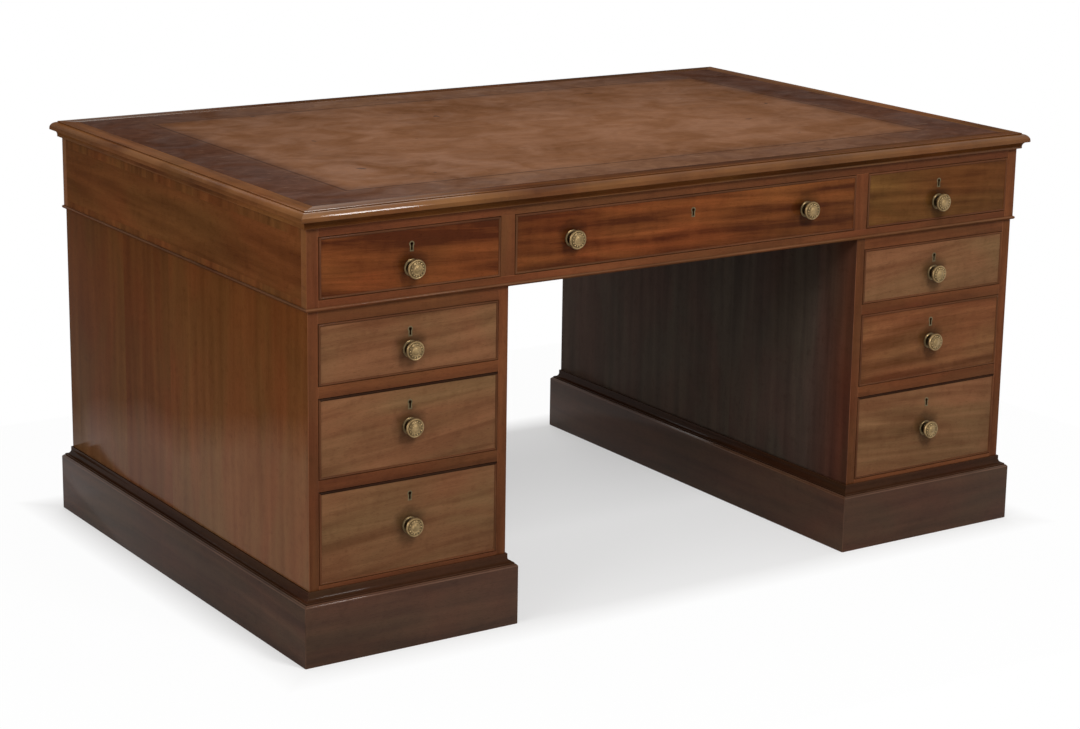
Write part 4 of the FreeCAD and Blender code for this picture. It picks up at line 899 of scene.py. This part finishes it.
def keyhole_liner(place):
    """A thin brass band that lines a keyhole, drawn in XY and raised along Z."""
    shape = new_shape()
    outside, half = EYE + LINER, SLOT / 2 + LINER
    lowest = math.asin(half / outside)
    steps = 16
    points = [(half, -FOOT - LINER)]
    for number in range(steps + 1):
        angle = -math.pi / 2 + lowest + (2 * math.pi - 2 * lowest) * number / steps
        points.append((outside * math.cos(angle), outside * math.sin(angle)))
    points.append((-half, -FOOT - LINER))
    hole = shape.faces.new([shape.verts.new((x, y, -LINER_SUNK)) for x, y in points])
    shape.normal_update()
    bmesh.ops.inset_region(shape, faces=[hole], thickness=LINER, use_boundary=True,
                           use_even_offset=True)
    bmesh.ops.delete(shape, geom=[hole], context="FACES_ONLY")
    raised = bmesh.ops.extrude_face_region(shape, geom=shape.faces[:])
    tops = [item for item in raised["geom"] if isinstance(item, bmesh.types.BMVert)]
    bmesh.ops.translate(shape, verts=tops, vec=(0, 0, LINER_HEIGHT))
    bmesh.ops.recalc_face_normals(shape, faces=shape.faces)
    mark(shape, "tone", shape.faces, 0.9)
    shape.transform(place)
    return shape


NUT_SIZE = (0.011, 0.011, 0.004)
BOLT_LENGTH = 0.004
BOLT_OVERLAP = 0.0005
SCREW_HEIGHT = 0.0012


def block(middle, size, turn=Matrix()):
    """A block, set off along Z from the point that it turns about."""
    shape = new_shape()
    bmesh.ops.create_cube(shape, size=1, matrix=turn @ Matrix.Translation((0, 0, middle))
                          @ Matrix.Diagonal((*size, 1)))
    return shape


def stud(middle, lower, upper, length, segments):
    """A round that tapers along Z from its lower radius to its upper."""
    shape = new_shape()
    bmesh.ops.create_cone(shape, cap_ends=True, segments=segments, radius1=lower, radius2=upper,
                          depth=length, matrix=Matrix.Translation((0, 0, middle)))
    return shape


def nut(place, depth):
    """The square nut and the bolt's end on the inside of a front, depth behind the knob."""
    square = block(-depth - NUT_SIZE[2] / 2, NUT_SIZE)
    ease(square, 0.0006)
    middle = -depth - NUT_SIZE[2] - BOLT_LENGTH / 2 + BOLT_OVERLAP
    bolt = stud(middle, 0.0024, 0.0027, BOLT_LENGTH, 16)
    for part in (square, bolt):
        part.transform(place)
    return [square, bolt]


def screw(place, radius=0.0032):
    """A countersunk screw's head with its dirty slot, flush with the surface that it holds."""
    head = stud(-SCREW_HEIGHT / 4, radius * 0.8, radius, SCREW_HEIGHT, 20)
    ease(head, 0.0002, 1)
    turn = Matrix.Rotation(dice.uniform(0, math.pi), 4, "Z")
    slot = block(SCREW_HEIGHT / 4, (radius * 1.7, 0.0006, 0.0002), turn)
    mark(slot, "tone", slot.faces, 1)
    for part in (head, slot):
        part.transform(place)
    return [head, slot]


KEYHOLE_DROP = 0.028
FRONT_THICKNESS = 0.02
BEAD_PROUD = 0.0015
LOCK_SCREWS = [(x, z) for x in (-0.021, 0.021) for z in (-0.014, 0.014)]


def lock_parts(triangles, keyhole):
    """A lock's eased case and the liner of its keyhole."""
    case = from_triangles(triangles)
    ease(case, 0.0004)
    return [case, keyhole_liner(keyhole)]


for drawer in drawers:
    forward = 1 if drawer.startswith("back") else -1
    outwards, inwards = (0, forward, 0), (0, -forward, 0)
    lock, roses = lock_and_roses(drawer)
    low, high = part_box(f"{drawer}_front")
    face = (low.y if forward < 0 else high.y) - forward * BEAD_PROUD
    shapes = []
    for rose in roses:
        middle = middle_of(rose)
        place = facing((middle.x, face, middle.z), outwards)
        shapes += knob(place) + nut(place, FRONT_THICKNESS)
    piece(f"{drawer}_brassware.knobs", shapes, brass, drawer, "brass", [f"{drawer}_brassware"])
    case_middle = middle_of(lock)
    shapes = lock_parts(lock, facing((case_middle.x, face, high.z - KEYHOLE_DROP), outwards))
    for x, z in LOCK_SCREWS:
        point = (case_middle.x + x, face - forward * FRONT_THICKNESS, case_middle.z + z)
        shapes += screw(facing(point, inwards))
    piece(f"{drawer}_brassware.lock", shapes, lock_brass, drawer, "brass", [f"{drawer}_brassware"])


# ------------------------------------------------------------------------------- cupboard doors
# A door of four mortised members round a raised and fielded panel closes the back of each pedestal.
# It hangs on two brass butt hinges, whose pins are fixed in the outer knuckles.

door_wood = wood("door mahogany", (0.2, 0.082, 0.032), (0.09, 0.033, 0.013), contrast=1.1)

PLATE_EDGE = 0.48  # along Y, where the plates of the hinge leaves end and the knuckles begin
HINGE_SCREWS = (-0.021, 0.0, 0.021)
LEAF_SCREW_INSET = 0.0085
LEAF_SCREW_RADIUS = 0.0026


def leaf_screws(node, sideways):
    """Three screws in the plate of each leaf of a node, on the side that faces along X."""
    shapes = []
    for triangles in solids(node):
        points = [Vector(point) for triangle in triangles for point in triangle]
        plate = [point for point in points if point.y < PLATE_EDGE]
        if not plate:
            continue
        face = max(point.x * sideways for point in plate) * sideways
        back = min(point.y for point in plate)
        level = middle_of(triangles).z
        for rise in HINGE_SCREWS:
            point = (face, back + LEAF_SCREW_INSET, level + rise)
            shapes += screw(facing(point, (sideways, 0, 0)), LEAF_SCREW_RADIUS)
    return shapes


for door, side in (("left_door", -1), ("right_door", 1)):
    piece(f"{door}_frame.finished", boards(f"{door}_frame"), rail_wood, door, "drawer_wood",
          [f"{door}_frame"])
    piece(f"{door}_panel.finished", boards(f"{door}_panel", axis=ALONG_Z), door_wood, door,
          "drawer_wood", [f"{door}_panel"])
    leaves = boards(f"{door}_hinge_leaves", 0.0002) + leaf_screws(f"{door}_hinge_leaves", side)
    piece(f"{door}_hinge_leaves.finished", leaves, lock_brass, door, "brass",
          [f"{door}_hinge_leaves"])
    lock, [rose] = lock_and_roses(door)
    middle, case_middle = middle_of(rose), middle_of(lock)
    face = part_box(f"{door}_frame")[1].y
    place = facing((middle.x, face, middle.z), (0, 1, 0))
    piece(f"{door}_brassware.knob", knob(place) + nut(place, FRONT_THICKNESS), brass, door, "brass",
          [f"{door}_brassware"])
    keyhole = facing((middle.x, face, case_middle.z), (0, 1, 0))
    piece(f"{door}_brassware.lock", lock_parts(lock, keyhole), lock_brass, door, "brass",
          [f"{door}_brassware"])

piece("fixed_hinge_leaves.finished", boards("fixed_hinge_leaves", 0.0002), lock_brass, "carcase",
      "brass", ["fixed_hinge_leaves"])


# ------------------------------------------------------------------------------- studio
# A plain pale floor that runs out to white, and three large soft lamps: the key in front of the
# desk, a fill at its left and one behind it. The camera stands in front of the left end.

def seen(tree):
    """One for rays that show the background: from the camera, or mirrored or let through."""
    path = add(tree, "ShaderNodeLightPath").outputs
    mirrored = calc(tree, "MAXIMUM", path["Is Glossy Ray"], path["Is Transmission Ray"])
    return calc(tree, "MAXIMUM", path["Is Camera Ray"], mirrored)


def make_floor():
    """A pale floor that keeps the desk's shadow and runs out to white."""
    shape = new_shape()
    bmesh.ops.create_grid(shape, x_segments=1, y_segments=1, size=30)
    mesh = bpy.data.meshes.new("floor")
    shape.to_mesh(mesh)
    shape.free()
    floor = placed("floor", mesh)
    material = bpy.data.materials.new("floor")
    tree = empty_tree(material)
    plain = add(tree, "ShaderNodeBsdfDiffuse", {"Color": (0.86, 0.86, 0.86, 1)})
    white = add(tree, "ShaderNodeEmission", {"Color": (1, 1, 1, 1), "Strength": 1.0})
    place = add(tree, "ShaderNodeTexCoord").outputs["Object"]
    parts = add(tree, "ShaderNodeSeparateXYZ", {0: place}).outputs
    along = calc(tree, "SUBTRACT", calc(tree, "ABSOLUTE", parts[0]), solid_box[1].x)
    across = calc(tree, "SUBTRACT", calc(tree, "ABSOLUTE", parts[1]), solid_box[1].y)
    away = calc(tree, "MAXIMUM", along, across)
    near = ranged(tree, away, -0.02, 0.07, 0.42, 0.96)
    far = ranged(tree, away, 0.1, 0.6)
    share = calc(tree, "MULTIPLY", seen(tree), calc(tree, "MAXIMUM", near, far))
    both = add(tree, "ShaderNodeMixShader", {0: share, 1: plain.outputs[0], 2: white.outputs[0]})
    add(tree, "ShaderNodeOutputMaterial", {"Surface": both.outputs[0]})
    mesh.materials.append(material)
    floor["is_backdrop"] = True


def make_world():
    """White where it is seen or mirrored, and a soft even light elsewhere."""
    world = bpy.data.worlds.new("studio")
    bpy.context.scene.world = world
    tree = empty_tree(world)
    soft = add(tree, "ShaderNodeBackground", {"Color": (1, 0.98, 0.96, 1), "Strength": 0.42})
    white = add(tree, "ShaderNodeBackground", {"Color": (1, 1, 1, 1), "Strength": 1.0})
    both = add(tree, "ShaderNodeMixShader", {
        0: seen(tree), 1: soft.outputs[0], 2: white.outputs[0]})
    add(tree, "ShaderNodeOutputWorld", {"Surface": both.outputs[0]})


def lamp(name, place, aim, size, power):
    """A large soft lamp that points at aim."""
    light = bpy.data.lights.new(name, "AREA")
    light.shape = "RECTANGLE"
    light.size, light.size_y = size
    light.energy = power
    made = placed(name, light)
    made.location = place
    made.rotation_euler = (Vector(aim) - Vector(place)).to_track_quat("-Z", "Y").to_euler()


make_floor()
make_world()
lamp("key", (0.22, -2.9, 3.2), aim=(0, -0.3, 0.5), size=(0.75, 1.3), power=92)
lamp("fill", (-4.0, -1.5, 2.2), aim=(0, 0, 0.4), size=(2.0, 2.0), power=40)
lamp("back", (0.5, 3.5, 3.6), aim=(0, 0, 0.6), size=(3.5, 1.5), power=60)

CAMERA_PLACE = Vector((-2.676, -4.040, 1.592))
CAMERA_AZIMUTH = math.radians(-33.554)
CAMERA_ELEVATION = math.radians(13.676)
CAMERA_ROLL = math.radians(0.895)

camera = placed("camera", bpy.data.cameras.new("camera"))
bpy.context.scene.camera = camera
camera.data.sensor_width = 36
camera.data.lens = 85.25
camera.data.shift_y = -0.05
camera.location = CAMERA_PLACE
look = Vector((-math.sin(CAMERA_AZIMUTH) * math.cos(CAMERA_ELEVATION),
               math.cos(CAMERA_AZIMUTH) * math.cos(CAMERA_ELEVATION),
               -math.sin(CAMERA_ELEVATION)))
camera.rotation_mode = "QUATERNION"
camera.rotation_quaternion = look.to_track_quat("-Z", "Y") @ Quaternion((0, 0, 1), CAMERA_ROLL)
bpy.context.scene.view_settings.view_transform = "Standard"

[[list(corner) for corner in box] for box in (solid_box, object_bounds())]
